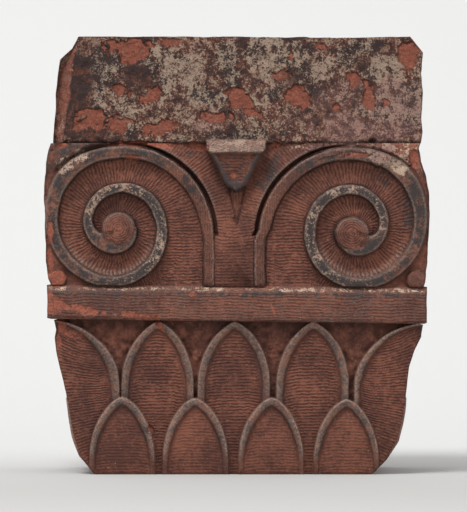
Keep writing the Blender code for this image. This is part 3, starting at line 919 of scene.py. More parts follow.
def oval(
    middle_x: float, middle_z: float, long: float, short: float, turn: float, x: Grid, z: Grid,
) -> Grid:
    """Return how far out of an oval each point lies.

    Args:
        middle_x: Place of its middle across.
        middle_z: Height of its middle.
        long: Half of its length.
        short: Half of its width.
        turn: Degrees that it is turned.
        x: Places across.
        z: Heights.

    Returns:
        Values that are 1 on its outline and 0 in its middle.
    """
    angle = math.radians(turn)
    along = (x - middle_x) * math.cos(angle) + (z - middle_z) * math.sin(angle)
    across = (z - middle_z) * math.cos(angle) - (x - middle_x) * math.sin(angle)
    return np.hypot(along / long, across / short)


@dataclass(frozen=True)
class Stain:
    """One patch of soot, crust, pink crust or grit that lies on the stone without changing its form."""

    kind: str
    x: float
    z: float
    long: float
    short: float
    turn: float = 0.0
    strength: float = 1.0

    def spread(self, relief: Relief, x: Grid, z: Grid, noise: StoneNoise) -> None:
        """Spread the stain.

        Args:
            relief: Surface to stain.
            x: Places across.
            z: Heights.
            noise: Noise for its soft outline.
        """
        window = window_round(self.x, self.z, 1.7 * self.long, x, z)
        x, z = x[window], z[window]
        reach = oval(self.x, self.z, self.long, self.short, self.turn, x, z)
        soft = noise.rough(x, 31.0, z, 11.0, 4) * 0.95
        over = (1 - ease(0.4, 1.2, reach + soft)) * self.strength
        value = getattr(relief, self.kind)
        value[window] = np.maximum(value[window], over)


CHIPS = tuple(Chip(*row) for row in (
    (-178, 149, 14, 8, 10, 1.4), (-181, 138, 7, 12, 10, 1.6), (-164, 141, 11, 5, -15, 1.0, 0.8),
    (-76, 149, 12, 2.8, -58, 1.6, 0.9), (-80, 155, 3.0, 3.0, 0, 2.0, 0.8),
    (-86.5, 46, 5.0, 3.4, -60, 2.6, 0.3), (37, 166, 8, 2.0, -65, 0.5, 0.8),
    (-184, 172, 14, 12, 0, 1.2, 0.8), (-152, 166, 26, 5.5, -12, 0.8), (-108, 162, 15, 4, -10, 0.7),
    (-92, 159, 16, 3.5, -4, 0.6, 0.8), (-178, 198, 8, 9, 30, 2.5, 0.85, 1.5),
    (-188, 216, 4.5, 16, 0, 1.2, 0.9), (-187, 243, 4.0, 16, 0, 1.0, 0.8),
    (-176, 330, 9, 3.5, 20, 3.0, 0.8), (-90, 331.5, 40, 3.6, -2, 1.4, 0.85),
    (-106, 319, 11, 3.2, -4, 1.0, 0.95), (-38, 329, 13, 4.5, -12, 1.2, 0.95),
    (-4, 301, 5, 3, 10, 0.9, 0.95), (177, 316, 10, 10, -40, 3.0, 0.6),
    (39, 331, 9, 3.5, 25, 1.2, 0.9), (122, 321, 20, 3.2, -2, 1.0, 0.75),
    (-44, 182, 6, 2.5, 0, 1.0, 0.5), (-55, 156, 3, 2, 0, 0.8, 0.5),
    (-107, 426, 27, 13, -8, 1.8, 0.85), (-66, 434, 15, 5, 0, 1.2, 0.8),
    (-119, 386, 13, 6, -10, 1.2, 0.85), (-85, 380, 11, 8, 20, 1.2, 0.85),
    (-146, 356, 18, 12, 10, 1.2, 0.85), (-118, 352, 16, 9, 0, 1.0, 0.8),
    (-78, 347, 18, 8, 12, 1.2, 0.9), (-22, 358, 21, 6, 0, 1.0, 0.8),
    (6, 376, 17, 12, -15, 1.8, 0.95), (18, 362, 14, 4, -20, 1.0, 0.9),
    (61, 379, 13, 13, 40, 1.6, 0.9), (118, 396, 15, 9, 30, 1.6, 0.9),
    (132, 380, 7, 16, 10, 1.4, 0.85), (172, 422, 13, 15, 0, 1.6, 0.75),
    (54, 422, 4, 6, 0, 0.8, 0.8), (84, 430, 6, 4, 0, 0.8, 0.8), (150, 373, 6, 5, 0, 0.8, 0.9),
    (44, 401, 12, 5, 0, 0.9, 0.55), (100, 369, 5, 6, 20, 0.8, 0.9),
))
STAINS: dict[str, tuple[tuple[float, ...], ...]] = {
    "soot": (
        (-135, 414, 26, 24, 0, 1.0), (-142, 356, 10, 14, 0, 1.0), (-8, 404, 15, 34, 0, 1.0),
        (38, 382, 14, 9, 0, 1.0), (136, 431, 30, 9, 0, 0.85), (174, 368, 14, 30, 0, 0.9),
        (-84, 392, 13, 10, 0, 0.95), (8, 341, 62, 6, 0, 1.0), (-107, 343, 6, 10, 0, 0.9),
        (76, 386, 15, 9, 0, 0.9), (-36, 382, 18, 12, 0, 0.9), (-148, 325, 30, 6, 12, 1.0),
        (-92, 323, 48, 6, -3, 0.95), (30, 300, 10, 26, -30, 0.7), (-42, 290, 8, 30, 18, 0.7),
        (176, 270, 10, 34, 0, 0.8), (60, 402, 20, 9, 20, 0.8), (108, 418, 16, 10, 0, 0.8),
        (-62, 420, 14, 8, 0, 0.7), (-150, 385, 16, 14, 0, 0.9), (150, 300, 9, 7, 20, 0.6),
    ),
    "crust": (
        (-62, 404, 40, 28, 0, 0.8), (30, 418, 36, 24, 0, 0.85), (84, 406, 26, 26, 0, 0.8),
        (148, 404, 22, 20, 0, 0.9), (-118, 374, 16, 8, 0, 0.75), (-107, 357, 12, 9, 30, 0.85),
        (-30, 372, 30, 14, 0, 0.5), (118, 348, 60, 14, 0, 0.55), (150, 366, 44, 20, 0, 0.8),
        (-30, 350, 16, 10, 0, 0.6), (-172, 311, 10, 15, -40, 0.85), (-158, 320, 15, 6, 28, 0.8),
        (132, 325, 46, 9, -12, 0.85), (158, 318, 24, 9, -38, 0.95), (66, 331, 12, 5, 10, 0.7),
        (-2, 334, 34, 4, 0, 0.5),
    ),
    "pink": (
        (122, 347, 64, 20, 0, 1.0), (100, 380, 30, 20, 0, 0.6), (150, 372, 40, 26, 0, 0.7),
        (-30, 352, 18, 12, 0, 0.6), (112, 327, 48, 9, -6, 1.0),
    ),
    "rough": (
        (120, 327, 56, 11, -8, 0.9),
    ),
}


@dataclass(frozen=True)
class FrontFace:
    """All the carving of the front."""

    courses: Courses
    left_volute: Volute = Volute(Side.LEFT, -118.3, 247.6, -120.2, 248.7, -28.0)
    right_volute: Volute = Volute(Side.RIGHT, 115.2, 242.6, 118.6, 246.7, 23.2)
    calyx: Calyx = Calyx()
    tongue: Tongue = Tongue()
    leaves: Leaves = Leaves(
        upper=(LeafShape(-78.8, 155.5), LeafShape(-2.2, 155.5), LeafShape(76.8, 155.5)),
        lower=(
            low_leaf(-115.2, 78.8), low_leaf(-41.7, 77.8), low_leaf(34.8, 78.2), low_leaf(109.9, 76.8),
        ),
        corners=(corner_leaf(-187.0, 156.5, 60, 72, 3), corner_leaf(187.3, 153.5, 63, 70, 4)),
    )
    knobs: tuple[tuple[float, ...], ...] = (
        (-180.0, 197.0, 9.5, 4.5, 0.9), (180.2, 195.5, 10.8, 9.5, 0.1),
    )
    chips: tuple[Chip, ...] = CHIPS
    stains: tuple[Stain, ...] = tuple(Stain(kind, *row) for kind, rows in STAINS.items() for row in rows)

    def carve(self, x: Grid, v: Grid, z: Grid, course: Grid, noise: StoneNoise) -> Relief:
        """Carve the whole front.

        Args:
            x: Places across.
            v: Heights before the courses' tilt.
            z: True heights.
            course: Number of the course that each row belongs to, from the bed up.
            noise: Noise for tooling and wear.

        Returns:
            The carved front.
        """
        front = Relief.flat(x, 0.0)
        front.take(self.bell(x, z, v, noise), course == 0)
        front.take(self.bar(x, z, v, noise), course == 1)
        front.take(self.volute_course(x, z, v, noise), course == 2)
        front.take(self.abacus(x, z, noise), course == 3)
        tongue = replace(front)
        self.tongue.carve(tongue, x, z, noise)
        front.take(tongue, course >= 2)
        for stain in self.stains:
            stain.spread(front, x, z, noise)
        for chip in self.chips:
            chip.knock(front, x, z, noise)
        return front

    def bell(self, x: Grid, z: Grid, v: Grid, noise: StoneNoise) -> Relief:
        """Carve the bell.

        Args:
            x: Places across.
            z: True heights.
            v: Heights before the tilt.
            noise: Noise for tooling and wear.

        Returns:
            Its front.
        """
        bell = Relief.flat(x, 0.0)
        self.leaves.carve(bell, x, z, noise)
        bell.level = bell.level + self.courses.bell_level - self.courses.front_inset(v)
        shade = ease(138, 155, v) + 0.3 * noise.rough(x, 14.0, z, 7.0, 3)
        bell.darken(0.9 * np.clip(shade, 0, 1) * (bell.proud < 0.3) * (bell.tooled < 0.1))
        return bell

    def bar(self, x: Grid, z: Grid, v: Grid, noise: StoneNoise) -> Relief:
        """Carve the bar.

        Args:
            x: Places across.
            z: True heights.
            v: Heights before the tilt.
            noise: Noise for tooling and wear.

        Returns:
            Its front.
        """
        bar = Relief.flat(x, self.courses.bar_level)
        wavy = v + noise.at(x, 1.0, z, 14.0) * 0.8
        slope = ease(self.courses.bar_arris - 1.0, self.courses.bar_top + 1.0, wavy)
        worn = noise.rough(x, 1.0, z, 16.0, 3)
        bar.level = bar.level - slope * (self.courses.bar_level + 1.6) + worn * 0.5
        lower_edge = 1 - ease(0.0, 3.0, v - self.courses.bar_foot + noise.at(x, 8.0, 0.0, 9.0) * 1.6)
        bar.level = bar.level - 2.4 * lower_edge**2
        bar.comb = z / 3.05 + noise.at(x, 5.0, z, 20.0) * 0.6 + x * 0.004
        bar.tooled = 0.8 * (1 - slope)
        bar.proud = 0.3 + 0.3 * worn + 0.5 * hump(v - self.courses.bar_arris + 0.5, 3.2)
        # Pale crust along the bar's top slope, partly a painted highlight where the slope faces up to the
        # light.
        bar.crust = (0.42 + 0.3 * worn) * hump(v - self.courses.bar_arris - 3.4, 2.4)
        bar.soot = 0.55 * hump(v - self.courses.bar_arris + 1.5, 2.4) + 0.25 * ease(0.2, 0.7, worn)
        return bar

    def volute_course(self, x: Grid, z: Grid, v: Grid, noise: StoneNoise) -> Relief:
        """Carve the course of the volutes.

        Args:
            x: Places across.
            z: True heights.
            v: Heights before the tilt.
            noise: Noise for tooling and wear.

        Returns:
            Its front.
        """
        rolled = Relief.flat(x, FIELD_LEVEL)
        rolled.tooled = np.full_like(x, 0.25)
        rolled.comb = z / COMB_PITCH
        left, left_turn = self.left_volute.carve(rolled, x, z, noise)
        right, right_turn = self.right_volute.carve(rolled, x, z, noise)
        self.calyx.carve(rolled, x, z, left, right, noise)
        self.calyx.comb_flanges(rolled, self.left_volute, x, z, left)
        self.calyx.comb_flanges(rolled, self.right_volute, x, z, right)
        self.calyx.fold_in(rolled, x, z)
        self.left_volute.cut_slit(rolled, left, left_turn, z)
        self.right_volute.cut_slit(rolled, right, right_turn, z)
        self.carve_corners(rolled, x, z, left, right, noise)
        rolled.darken(0.25 * ease(326, 333, v) * (1 - rolled.proud))
        return rolled

    def carve_corners(
        self, rolled: Relief, x: Grid, z: Grid, left: Grid, right: Grid, noise: StoneNoise,
    ) -> None:
        """Carve what lies outside the volutes: the upper corner wedges and the lower knobs.

        Args:
            rolled: Surface to carve.
            x: Places across.
            z: Heights.
            left: Distance outside the left band.
            right: Distance outside the right band.
            noise: Noise for wear.
        """
        wedge = ease(7.5, 11.0, left) * ease(300, 316, z) * (x < -120)
        rise = 5.5 - 0.13 * (333 - z) + noise.at(x, 3.0, z, 18.0) * 0.8
        rolled.lay(wedge, level=rise, tooled=0.0, proud=0.95, hollow=0.1, soot=0.45)
        # A groove with painted shadow under the upper left wedge.
        groove = hump(left - 7.6, 1.7) * ease(300, 312, z) * (x < -118)
        rolled.lay(np.clip(groove, 0, 1), level=-4.0, hollow=0.9)
        block = ease(7.0, 9.5, right) * ease(296, 310, z) * (x > 120)
        crumbled = 1.5 + noise.rough(x, 3.0, z, 14.0) * 1.6
        rolled.lay(block, level=crumbled, tooled=0.0, proud=0.3, fresh=0.35, crust=0.3)
        for knob_x, knob_z, radius, rise, fresh in self.knobs:
            reach = np.hypot(x - knob_x, z - knob_z) / radius
            over = 1 - ease(0.88, 1.06, reach)
            dome = FIELD_LEVEL + rise * np.sqrt(np.clip(1 - reach**2 * 0.8, 0, 1))
            rolled.darken(0.8 * hump(reach - 1.18, 0.14))
            rolled.lay(
                over,
                level=dome,
                comb=reach * radius / 2.9,
                tooled=0.5,
                proud=0.3,
                fresh=fresh,
                hollow=0.0,
            )

    def abacus(self, x: Grid, z: Grid, noise: StoneNoise) -> Relief:
        """Roughen the abacus face, with its broken left arris.

        Args:
            x: Places across.
            z: Heights.
            noise: Noise for wear.

        Returns:
            Its front.
        """
        rough = Relief.flat(x, 0.0)
        broad = noise.rough(x, 21.0, z, 38.0, 4)
        fine = noise.rough(x, 22.0, z, 6.0, 3)
        shelf = np.round(noise.at(x * 0.8, 23.0, z, 26.0) * 2.2) / 2.2
        pecked = noise.rough(x, 28.0, z, 3.2, 2)
        rough.level = broad * 1.6 + fine * 1.3 + shelf * 0.6 + pecked * 0.8
        edge = -172.8 + (z - 337.0) * 0.155 + noise.rough(x, 24.0, z, 16.0) * 2.4
        fallen = np.clip(edge - x, 0, None)
        flake = np.round(noise.at(x + z * 0.5, 26.0, z * 0.7, 15.0) * 2.0) / 2.0
        rough.level = rough.level - np.minimum(fallen * 0.9, 20.0) - 1.2 * (fallen > 0)
        rough.level = rough.level + flake * 1.6 * ease(1, 4, fallen)
        off = ease(0, 3, fallen)
        tint = noise.rough(x, 27.0, z, 24.0, 3)
        rough.crust = mix(0.27 + 0.45 * broad, 0.45, off)
        rough.soot = mix(0.5 - 0.4 * broad, 0.2, off)
        rough.fresh = mix(0.42 + 0.35 * tint, 0.6 + 0.3 * flake, off)
        rough.pink = 0.35 * off
        rough.rough = 1.0 - 0.5 * off
        # The seam along the abacus foot is recessed and painted with shade under the abacus's overhang,
        # as are the low pits of the face and the hole.
        shaded_seam = 1 - ease(333.0, 336.0, z + noise.at(x, 25.0, 0.0, 30.0) * 1.2)
        rough.level = rough.level - 1.8 * shaded_seam
        rough.hollow = 0.75 * shaded_seam + 0.5 * np.clip(-fine - 0.25, 0, 1)
        rough.hollow = rough.hollow + 0.4 * np.clip(-pecked - 0.3, 0, 1)
        hole = np.exp(-(np.hypot(x - 136.0, (z - 335.0) * 1.5) / 4.2) ** 4)
        rough.lay(np.clip(hole, 0, 1), level=-6.0, hollow=1.0)
        return rough


@dataclass(frozen=True)
class SideFace:
    """The carving of a side, which the photographed front doesn't show: the same leaves, plainer."""

    courses: Courses
    upper_first: float = 108.0
    lower_first: float = 72.0
    upper_pitch: float = 77.5
    lower_pitch: float = 75.0
    upper_tip: float = 155.0
    lower_tip: float = 78.0

    def leaves(self) -> Leaves:
        """Place the leaves of a side, counted back from the front arris.

        Returns:
            Both rows of leaves.
        """
        upper = (self.upper_first + step * self.upper_pitch for step in range(2))
        lower = (self.lower_first + step * self.lower_pitch for step in range(3))
        return Leaves(
            tuple(LeafShape(middle, self.upper_tip, lean=0.0) for middle in upper),
            tuple(low_leaf(middle, self.lower_tip, lift=1.2) for middle in lower),
            (corner_leaf(0.0, self.upper_tip, 60, 72, 3),),
        )

    def carve(self, back: Grid, z: Grid, course: Grid, seed_y: float, noise: StoneNoise) -> Relief:
        """Carve a side.

        Args:
            back: Distances back from the front arris.
            z: Heights.
            course: Course of each row.
            seed_y: Slice of the noise to use, so that the two sides differ.
            noise: Noise for tooling and wear.

        Returns:
            The carved side, whose level is set off the block's outline.
        """
        side = Relief.flat(back, 0.0)
        bell = Relief.flat(back, 0.0)
        self.leaves().carve(bell, back, z, noise)
        bell.darken(0.8 * ease(147, 155, z) * (bell.proud < 0.5))
        side.take(bell, course == 0)
        plain = Relief.flat(back, 0.0)
        worn = noise.rough(back, seed_y, z, 18.0, 3)
        plain.level = worn * 0.6
        plain.comb = z / 3.1 + noise.at(back, seed_y, z, 20.0) * 0.5
        plain.tooled = np.full_like(back, 0.8)
        plain.proud = 0.3 + 0.3 * worn
        side.take(plain, course == 1)
        cushion = Relief.flat(back, 0.0)
        cushion.level = worn * 0.8
        cushion.comb = back / COMB_PITCH + noise.at(back, seed_y, z, 24.0) * 0.5
        cushion.tooled = np.full_like(back, 0.8)
        cushion.proud = 0.3 * ease(0.1, 0.7, worn)
        # painted shade along the seams at the bar's top and under the abacus
        shaded_seams = (self.courses.bar_top + 1, self.courses.abacus_foot - 2)
        cushion.hollow = 0.5 * sum(hump(z - shaded_seam, 3.0) for shaded_seam in shaded_seams)
        side.take(cushion, course == 2)
        rough = Relief.flat(back, 0.0)
        broad = noise.rough(back, seed_y + 30, z, 36.0, 4)
        rough.level = broad * 1.4 - 0.6
        rough.crust = 0.18 + 0.4 * broad
        rough.soot = 0.4 - 0.3 * broad
        rough.rough = np.full_like(back, 0.9)
        rough.fresh = 0.5 * ease(0.2, 0.5, noise.at(back, seed_y + 31, z, 22.0))
        side.take(rough, course == 3)
        return side


def flipped(run: Run) -> Run:
    """Return a run of columns in the opposite order."""
    points, values = run
    return points[:, ::-1], {mask: value[:, ::-1] for mask, value in values.items()}


@dataclass
class CarvedStone:
    """The whole stone: a closed skin wound round the block, carved, then thinned to few enough faces."""

    courses: Courses = field(default_factory=Courses)
    row_step: float = 0.8
    front_step: float = 0.8
    side_step: float = 1.4
    wall_step: float = 12.0
    arris_columns: int = 6
    arris_radius: float = 2.6
    bed_rings: tuple[float, ...] = (0.985, 0.95, 0.8, 0.5)
    most_faces: int = 190_000

    def build(self) -> bpy.types.Object:
        """Build the stone.

        Returns:
            The finished mesh object.
        """
        noise = StoneNoise(NOISE_SEED)
        v, course = self.rows()
        points, relief = self.skin(v, course, noise)
        stone = self.mesh_from(points, relief)
        self.thin(stone)
        return stone

    def rows(self) -> tuple[Grid, Grid]:
        """Space the rows of the skin over the four courses.

        Returns:
            The height and the course of every row.
        """
        spans = (
            (0.0, self.courses.bar_foot - 0.1, 0),
            (self.courses.bar_foot, self.courses.bar_top, 1),
            (self.courses.bar_top + 0.2, self.courses.abacus_foot - 0.1, 2),
            (self.courses.abacus_foot + 0.1, self.courses.height, 3),
        )
        heights, numbers = [], []
        for low, high, number in spans:
            count = max(2, round((high - low) / self.row_step))
            heights.append(np.linspace(low, high, count))
            numbers.append(np.full(count, number))
        return np.concatenate(heights), np.concatenate(numbers)

    def skin(self, v: Grid, course: Grid, noise: StoneNoise) -> Run:
        """Return every point of the skin, with its finish values.

        Args:
            v: Heights of the rows.
            course: Courses of the rows.
            noise: Noise for tooling and wear.

        Returns:
            Points by row and column, and the values of each mask in the same order.
        """
        c = self.courses
        jag = noise.rough(3.0, 60.0, v, 14.0, 3) * 0.5
        left = c.left.at(v) + jag
        right = c.right.at(v) + noise.rough(9.0, 61.0, v, 14.0, 3) * 0.5
        inset = c.front_inset(v)
        front_level = np.where(course == 0, c.bell_level - inset, 0.0)
        front_y = c.face_y - front_level
        radius = np.where(course == 0, 3.0, self.arris_radius)
        columns = round((c.left.at(260.0) + c.right.at(260.0)) / self.front_step)
        across = np.linspace(0, 1, columns)
        x = -left[:, None] + radius[:, None] + across[None, :] * (left + right - 2 * radius)[:, None]
        z = v[:, None] - c.tilt.at(v)[:, None] * x / HALF_WIDTH
        nicked = np.clip(noise.rough(x, 62.0, 0.0, 20.0, 3), 0, 1)
        z = z - 3.0 * nicked * ease(c.height - 9.0, c.height, v)[:, None]
        courses = np.broadcast_to(course[:, None], x.shape)
        heights = np.broadcast_to(v[:, None], x.shape)
        front = FrontFace(c).carve(x, heights, z, courses, noise)
        front_points = np.stack([x, c.face_y - front.level, z], axis=-1)
        sides = {}
        for side, half in ((Side.LEFT, left), (Side.RIGHT, right)):
            sides[side] = self.side_points(side, half, front_y + radius, v, course, noise)
        return self.join(front_points, front, sides)

    def side_points(
        self, side: Side, half: Grid, start_y: Grid, v: Grid, course: Grid, noise: StoneNoise,
    ) -> tuple[Grid, Relief]:
        """Return the points of one side, from the front arris back to the wall.

        Args:
            side: Which side.
            half: Half width of each row.
            start_y: Place in y where each row's side starts.
            v: Heights of the rows.
            course: Courses of the rows.
            noise: Noise for tooling and wear.

        Returns:
            The points and their relief.
        """
        c = self.courses
        columns = round(c.block_depth / self.side_step)
        share = np.linspace(0, 1, columns)
        y = start_y[:, None] + share[None, :] * (c.wall_y - start_y)[:, None]
        v_grid = np.broadcast_to(v[:, None], y.shape)
        courses = np.broadcast_to(course[:, None], y.shape)
        back = y - (c.face_y - c.bell_level)
        relief = SideFace(c).carve(back, v_grid, courses, 40.0 + side.value * 7, noise)
        out = half[:, None] + relief.level
        z = v[:, None] - c.tilt.at(v)[:, None] * side.value * half[:, None] / HALF_WIDTH
        return np.stack([side.value * out, y, np.broadcast_to(z, y.shape)], axis=-1), relief

    def arris(
        self, front_edge: Grid, side_edge: Grid, front: dict[Mask, Grid], side: dict[Mask, Grid],
    ) -> Run:
        """Return the rounded arris between the front and a side, counted from the front.

        Args:
            front_edge: Points where it leaves the front.
            side_edge: Points where it meets the side.
            front: Finish values at the front's edge.
            side: Finish values at the side's edge.

        Returns:
            Its points and finish values.
        """
        share = np.linspace(0, 1, self.arris_columns + 2)[1:-1]
        turn = share * math.pi / 2
        first, step = front_edge[:, None], (side_edge - front_edge)[:, None]
        points = first + step * np.stack([np.sin(turn), 1 - np.cos(turn), share], axis=-1)
        return points, {mask: mix(front[mask][:, None], side[mask][:, None], share) for mask in Mask}

    def wall(self, start: Grid, end: Grid) -> Run:
        """Return the flat wall side.

        Args:
            start: Points of its first edge.
            end: Points of its last edge.

        Returns:
            Its points and finish values.
        """
        share = np.linspace(0, 1, round(2 * HALF_WIDTH / self.wall_step) + 2)[1:-1]
        points = start[:, None] + (end - start)[:, None] * share[:, None]
        values = {mask: np.full(points.shape[:2], WALL_FINISH.get(mask, 0.0)) for mask in Mask}
        values[Mask.COMB] = points[..., 2] / 6.0
        return points, values

    def join(self, front_points: Grid, front: Relief, sides: dict[Side, tuple[Grid, Relief]]) -> Run:
        """Join the front and the sides by rounded arrises and a flat wall side.

        Args:
            front_points: Points of the front.
            front: Relief of the front.
            sides: Points and relief of each side.

        Returns:
            Points by row and column, and the values of each mask in the same order.
        """
        left_points, left = sides[Side.LEFT]
        right_points, right = sides[Side.RIGHT]
        runs = (
            flipped((left_points, left.finish())),
            flipped(self.arris(front_points[:, 0], left_points[:, 0], front.finish(0), left.finish(0))),
            (front_points, front.finish()),
            self.arris(front_points[:, -1], right_points[:, 0], front.finish(-1), right.finish(0)),
            (right_points, right.finish()),
            self.wall(right_points[:, -1], left_points[:, -1]),
        )
        points = np.concatenate([run for run, _ in runs], axis=1)
        points[0, :, 2] = 0.0
        points[..., 2] = np.clip(points[..., 2], 0.0, self.courses.height)
        values = {mask: np.concatenate([run[mask] for _, run in runs], axis=1) for mask in Mask}
        return points, values

    def mesh_from(self, points: Grid, relief: dict[Mask, Grid]) -> bpy.types.Object:
        """Make the closed mesh: the skin, the bed and the top bed.

        Args:
            points: Points by row and column.
            relief: Finish values in the same order.

        Returns:
            The mesh object, not yet thinned.
        """
        rows, columns = points.shape[:2]
        index = np.arange(rows * columns).reshape(rows, columns)
        after = np.roll(index, -1, axis=1)
        quads = np.stack([index[:-1], after[:-1], after[1:], index[1:]], axis=-1).reshape(-1, 4)
        coordinates = [points.reshape(-1, 3)]
        finish = {mask: [value.reshape(-1)] for mask, value in relief.items()}
        count = rows * columns
        faces = [quads]
        caps = []
        for row, flip in ((0, True), (rows - 1, False)):
            ring = index[row]
            outline = points[row]
            middle = np.array([0.0, 9.0, outline[0, 2]])
            for share in self.bed_rings:
                inner = middle + (outline - middle) * share
                ids = count + np.arange(columns)
                count += columns
                coordinates.append(inner)
                for mask in finish:
                    values = np.full(columns, BED_FINISH.get(mask, 0.0))
                    if mask is Mask.COMB:
                        values = inner[:, 1] / 5.0
                    finish[mask].append(values)
                pair = (ids, ring) if flip else (ring, ids)
                inside = np.stack([pair[0], np.roll(pair[0], -1), np.roll(pair[1], -1), pair[1]], axis=-1)
                faces.append(inside)
                ring = ids
            caps.append(ring[::-1] if flip else ring)
        every = np.concatenate(coordinates) * MM
        quads = np.concatenate(faces)
        loops = np.concatenate([quads.reshape(-1), *caps])
        totals = np.concatenate([np.full(len(quads), 4), [len(cap) for cap in caps]])
        starts = np.concatenate([[0], np.cumsum(totals)[:-1]])
        mesh = bpy.data.meshes.new("carved_stone")
        mesh.vertices.add(len(every))
        mesh.vertices.foreach_set("co", every.astype(np.float32).ravel())
        mesh.loops.add(len(loops))
        mesh.loops.foreach_set("vertex_index", loops.astype(np.int32))
        mesh.polygons.add(len(totals))
        mesh.polygons.foreach_set("loop_start", starts.astype(np.int32))
        mesh.polygons.foreach_set("loop_total", totals.astype(np.int32))
        for mask, value in finish.items():
            attribute = mesh.attributes.new(mask.value, "FLOAT", "POINT")
            attribute.data.foreach_set("value", np.concatenate(value).astype(np.float32))
        mesh.update(calc_edges=True)
        mesh.validate()
        stone = bpy.data.objects.new("carved_stone", mesh)
        bpy.context.scene.collection.objects.link(stone)
        LOG.info("skin of %d by %d points", rows, columns)
        return stone

    def thin(self, stone: bpy.types.Object) -> None:
        """Thin the mesh where it is flat, and keep it where it is carved.

        Args:
            stone: The mesh object.
        """
        mesh = stone.data
        triangles = sum(len(polygon.vertices) - 2 for polygon in mesh.polygons)
        modifier = stone.modifiers.new("thin", "DECIMATE")
        modifier.ratio = min(1.0, self.most_faces / triangles)
        modifier.use_collapse_triangulate = True
        graph = bpy.context.evaluated_depsgraph_get()
        thinned = bpy.data.meshes.new_from_object(stone.evaluated_get(graph))
        stone.modifiers.clear()
        stone.data = thinned
        thinned.name = "carved_stone"
        thinned.polygons.foreach_set("use_smooth", [True] * len(thinned.polygons))
        thinned.update()
        LOG.info("thinned from %d to %d triangles", triangles, len(thinned.polygons))


class NodeGroupBuilder:
    """Builds one shader node group with named inputs and outputs."""

    def __init__(self, name: str, inputs: dict[str, tuple[str, object]], outputs: dict[str, str]) -> None:
        """Start a group.

        Args:
            name: Name of the group.
            inputs: Socket type and default value by input name.
            outputs: Socket type by output name.
        """
        self.tree = bpy.data.node_groups.new(name, "ShaderNodeTree")
        for label, (kind, value) in inputs.items():
            socket = self.tree.interface.new_socket(label, in_out="INPUT", socket_type=kind)
            if value is not None:
                socket.default_value = value
        for label, kind in outputs.items():
            self.tree.interface.new_socket(label, in_out="OUTPUT", socket_type=kind)
        self.source = self.tree.nodes.new("NodeGroupInput")
        self.sink = self.tree.nodes.new("NodeGroupOutput")

    def value(self, label: str) -> Socket:
        """Return the socket of one input."""
        return self.source.outputs[label]

    def out(self, label: str, socket: Socket) -> None:
        """Lead a socket to one output."""
        self.tree.links.new(socket, self.sink.inputs[label])


@dataclass
class Wiring:
    """Short ways to place and join shader nodes in one tree."""

    tree: bpy.types.NodeTree

    def node(self, kind: str, **settings: object) -> bpy.types.Node:
        """Place a node.

        Args:
            kind: Its type.
            settings: Values of its properties, by name.

        Returns:
            The node.
        """
        made = self.tree.nodes.new(kind)
        for name, value in settings.items():
            setattr(made, name, value)
        return made

    def feed(self, socket: Socket, value: object) -> None:
        """Set a socket, or link another socket to it.

        Args:
            socket: Input to set.
            value: Number, colour or output to give it.
        """
        if isinstance(value, Socket):
            self.tree.links.new(value, socket)
        else:
            socket.default_value = value

    def math(self, operation: str, *values: object, clamp: bool = False) -> Socket:
        """Place a math node.

        Args:
            operation: Its operation.
            values: Its inputs, as numbers or sockets.
            clamp: Whether its result is held between 0 and 1.

        Returns:
            Its output.
        """
        made = self.node("ShaderNodeMath", operation=operation, use_clamp=clamp)
        for socket, value in zip(made.inputs, values):
            self.feed(socket, value)
        return made.outputs[0]

    def times(self, first: object, second: object, clamp: bool = False) -> Socket:
        """Multiply two values."""
        return self.math("MULTIPLY", first, second, clamp=clamp)

    def plus(self, first: object, second: object, clamp: bool = False) -> Socket:
        """Add two values."""
        return self.math("ADD", first, second, clamp=clamp)

    def minus(self, first: object, second: object, clamp: bool = False) -> Socket:
        """Take the second value from the first."""
        return self.math("SUBTRACT", first, second, clamp=clamp)

    def blend(self, share: object, first: object, second: object, kind: str = "MIX") -> Socket:
        """Place a colour mix.

        Args:
            share: Share of the second colour.
            first: First colour.
            second: Second colour.
            kind: How the two are mixed.

        Returns:
            The mixed colour.
        """
        made = self.node("ShaderNodeMix", data_type="RGBA", blend_type=kind)
        self.feed(made.inputs[0], share)
        self.feed(made.inputs[6], first)
        self.feed(made.inputs[7], second)
        return made.outputs[2]

    def noise(self, vector: object, scale: float, detail: float = 4.0, roughness: float = 0.6) -> Socket:
        """Place a noise texture.

        Args:
            vector: Where to read it.
            scale: Its scale.
            detail: Its octaves.
            roughness: Strength of its fine octaves.

        Returns:
            Its value from 0 to 1.
        """
        made = self.node("ShaderNodeTexNoise")
        self.feed(made.inputs["Vector"], vector)
        self.feed(made.inputs["Scale"], scale)
        made.inputs["Detail"].default_value = detail
        made.inputs["Roughness"].default_value = roughness
        return made.outputs["Fac"]

    def step(
        self, value: object, low: float, high: float, top: float = 1.0, bottom: float = 0.0,
    ) -> Socket:
        """Place a smooth step.

        Args:
            value: Value to read.
            low: Value where the step starts.
            high: Value where it ends.
            top: Result above the step.
            bottom: Result below it.

        Returns:
            The stepped value.
        """
        made = self.node("ShaderNodeMapRange", interpolation_type="SMOOTHSTEP")
        self.feed(made.inputs["Value"], value)
        made.inputs["From Min"].default_value = low
        made.inputs["From Max"].default_value = high
        made.inputs["To Min"].default_value = bottom
        made.inputs["To Max"].default_value = top
        return made.outputs["Result"]


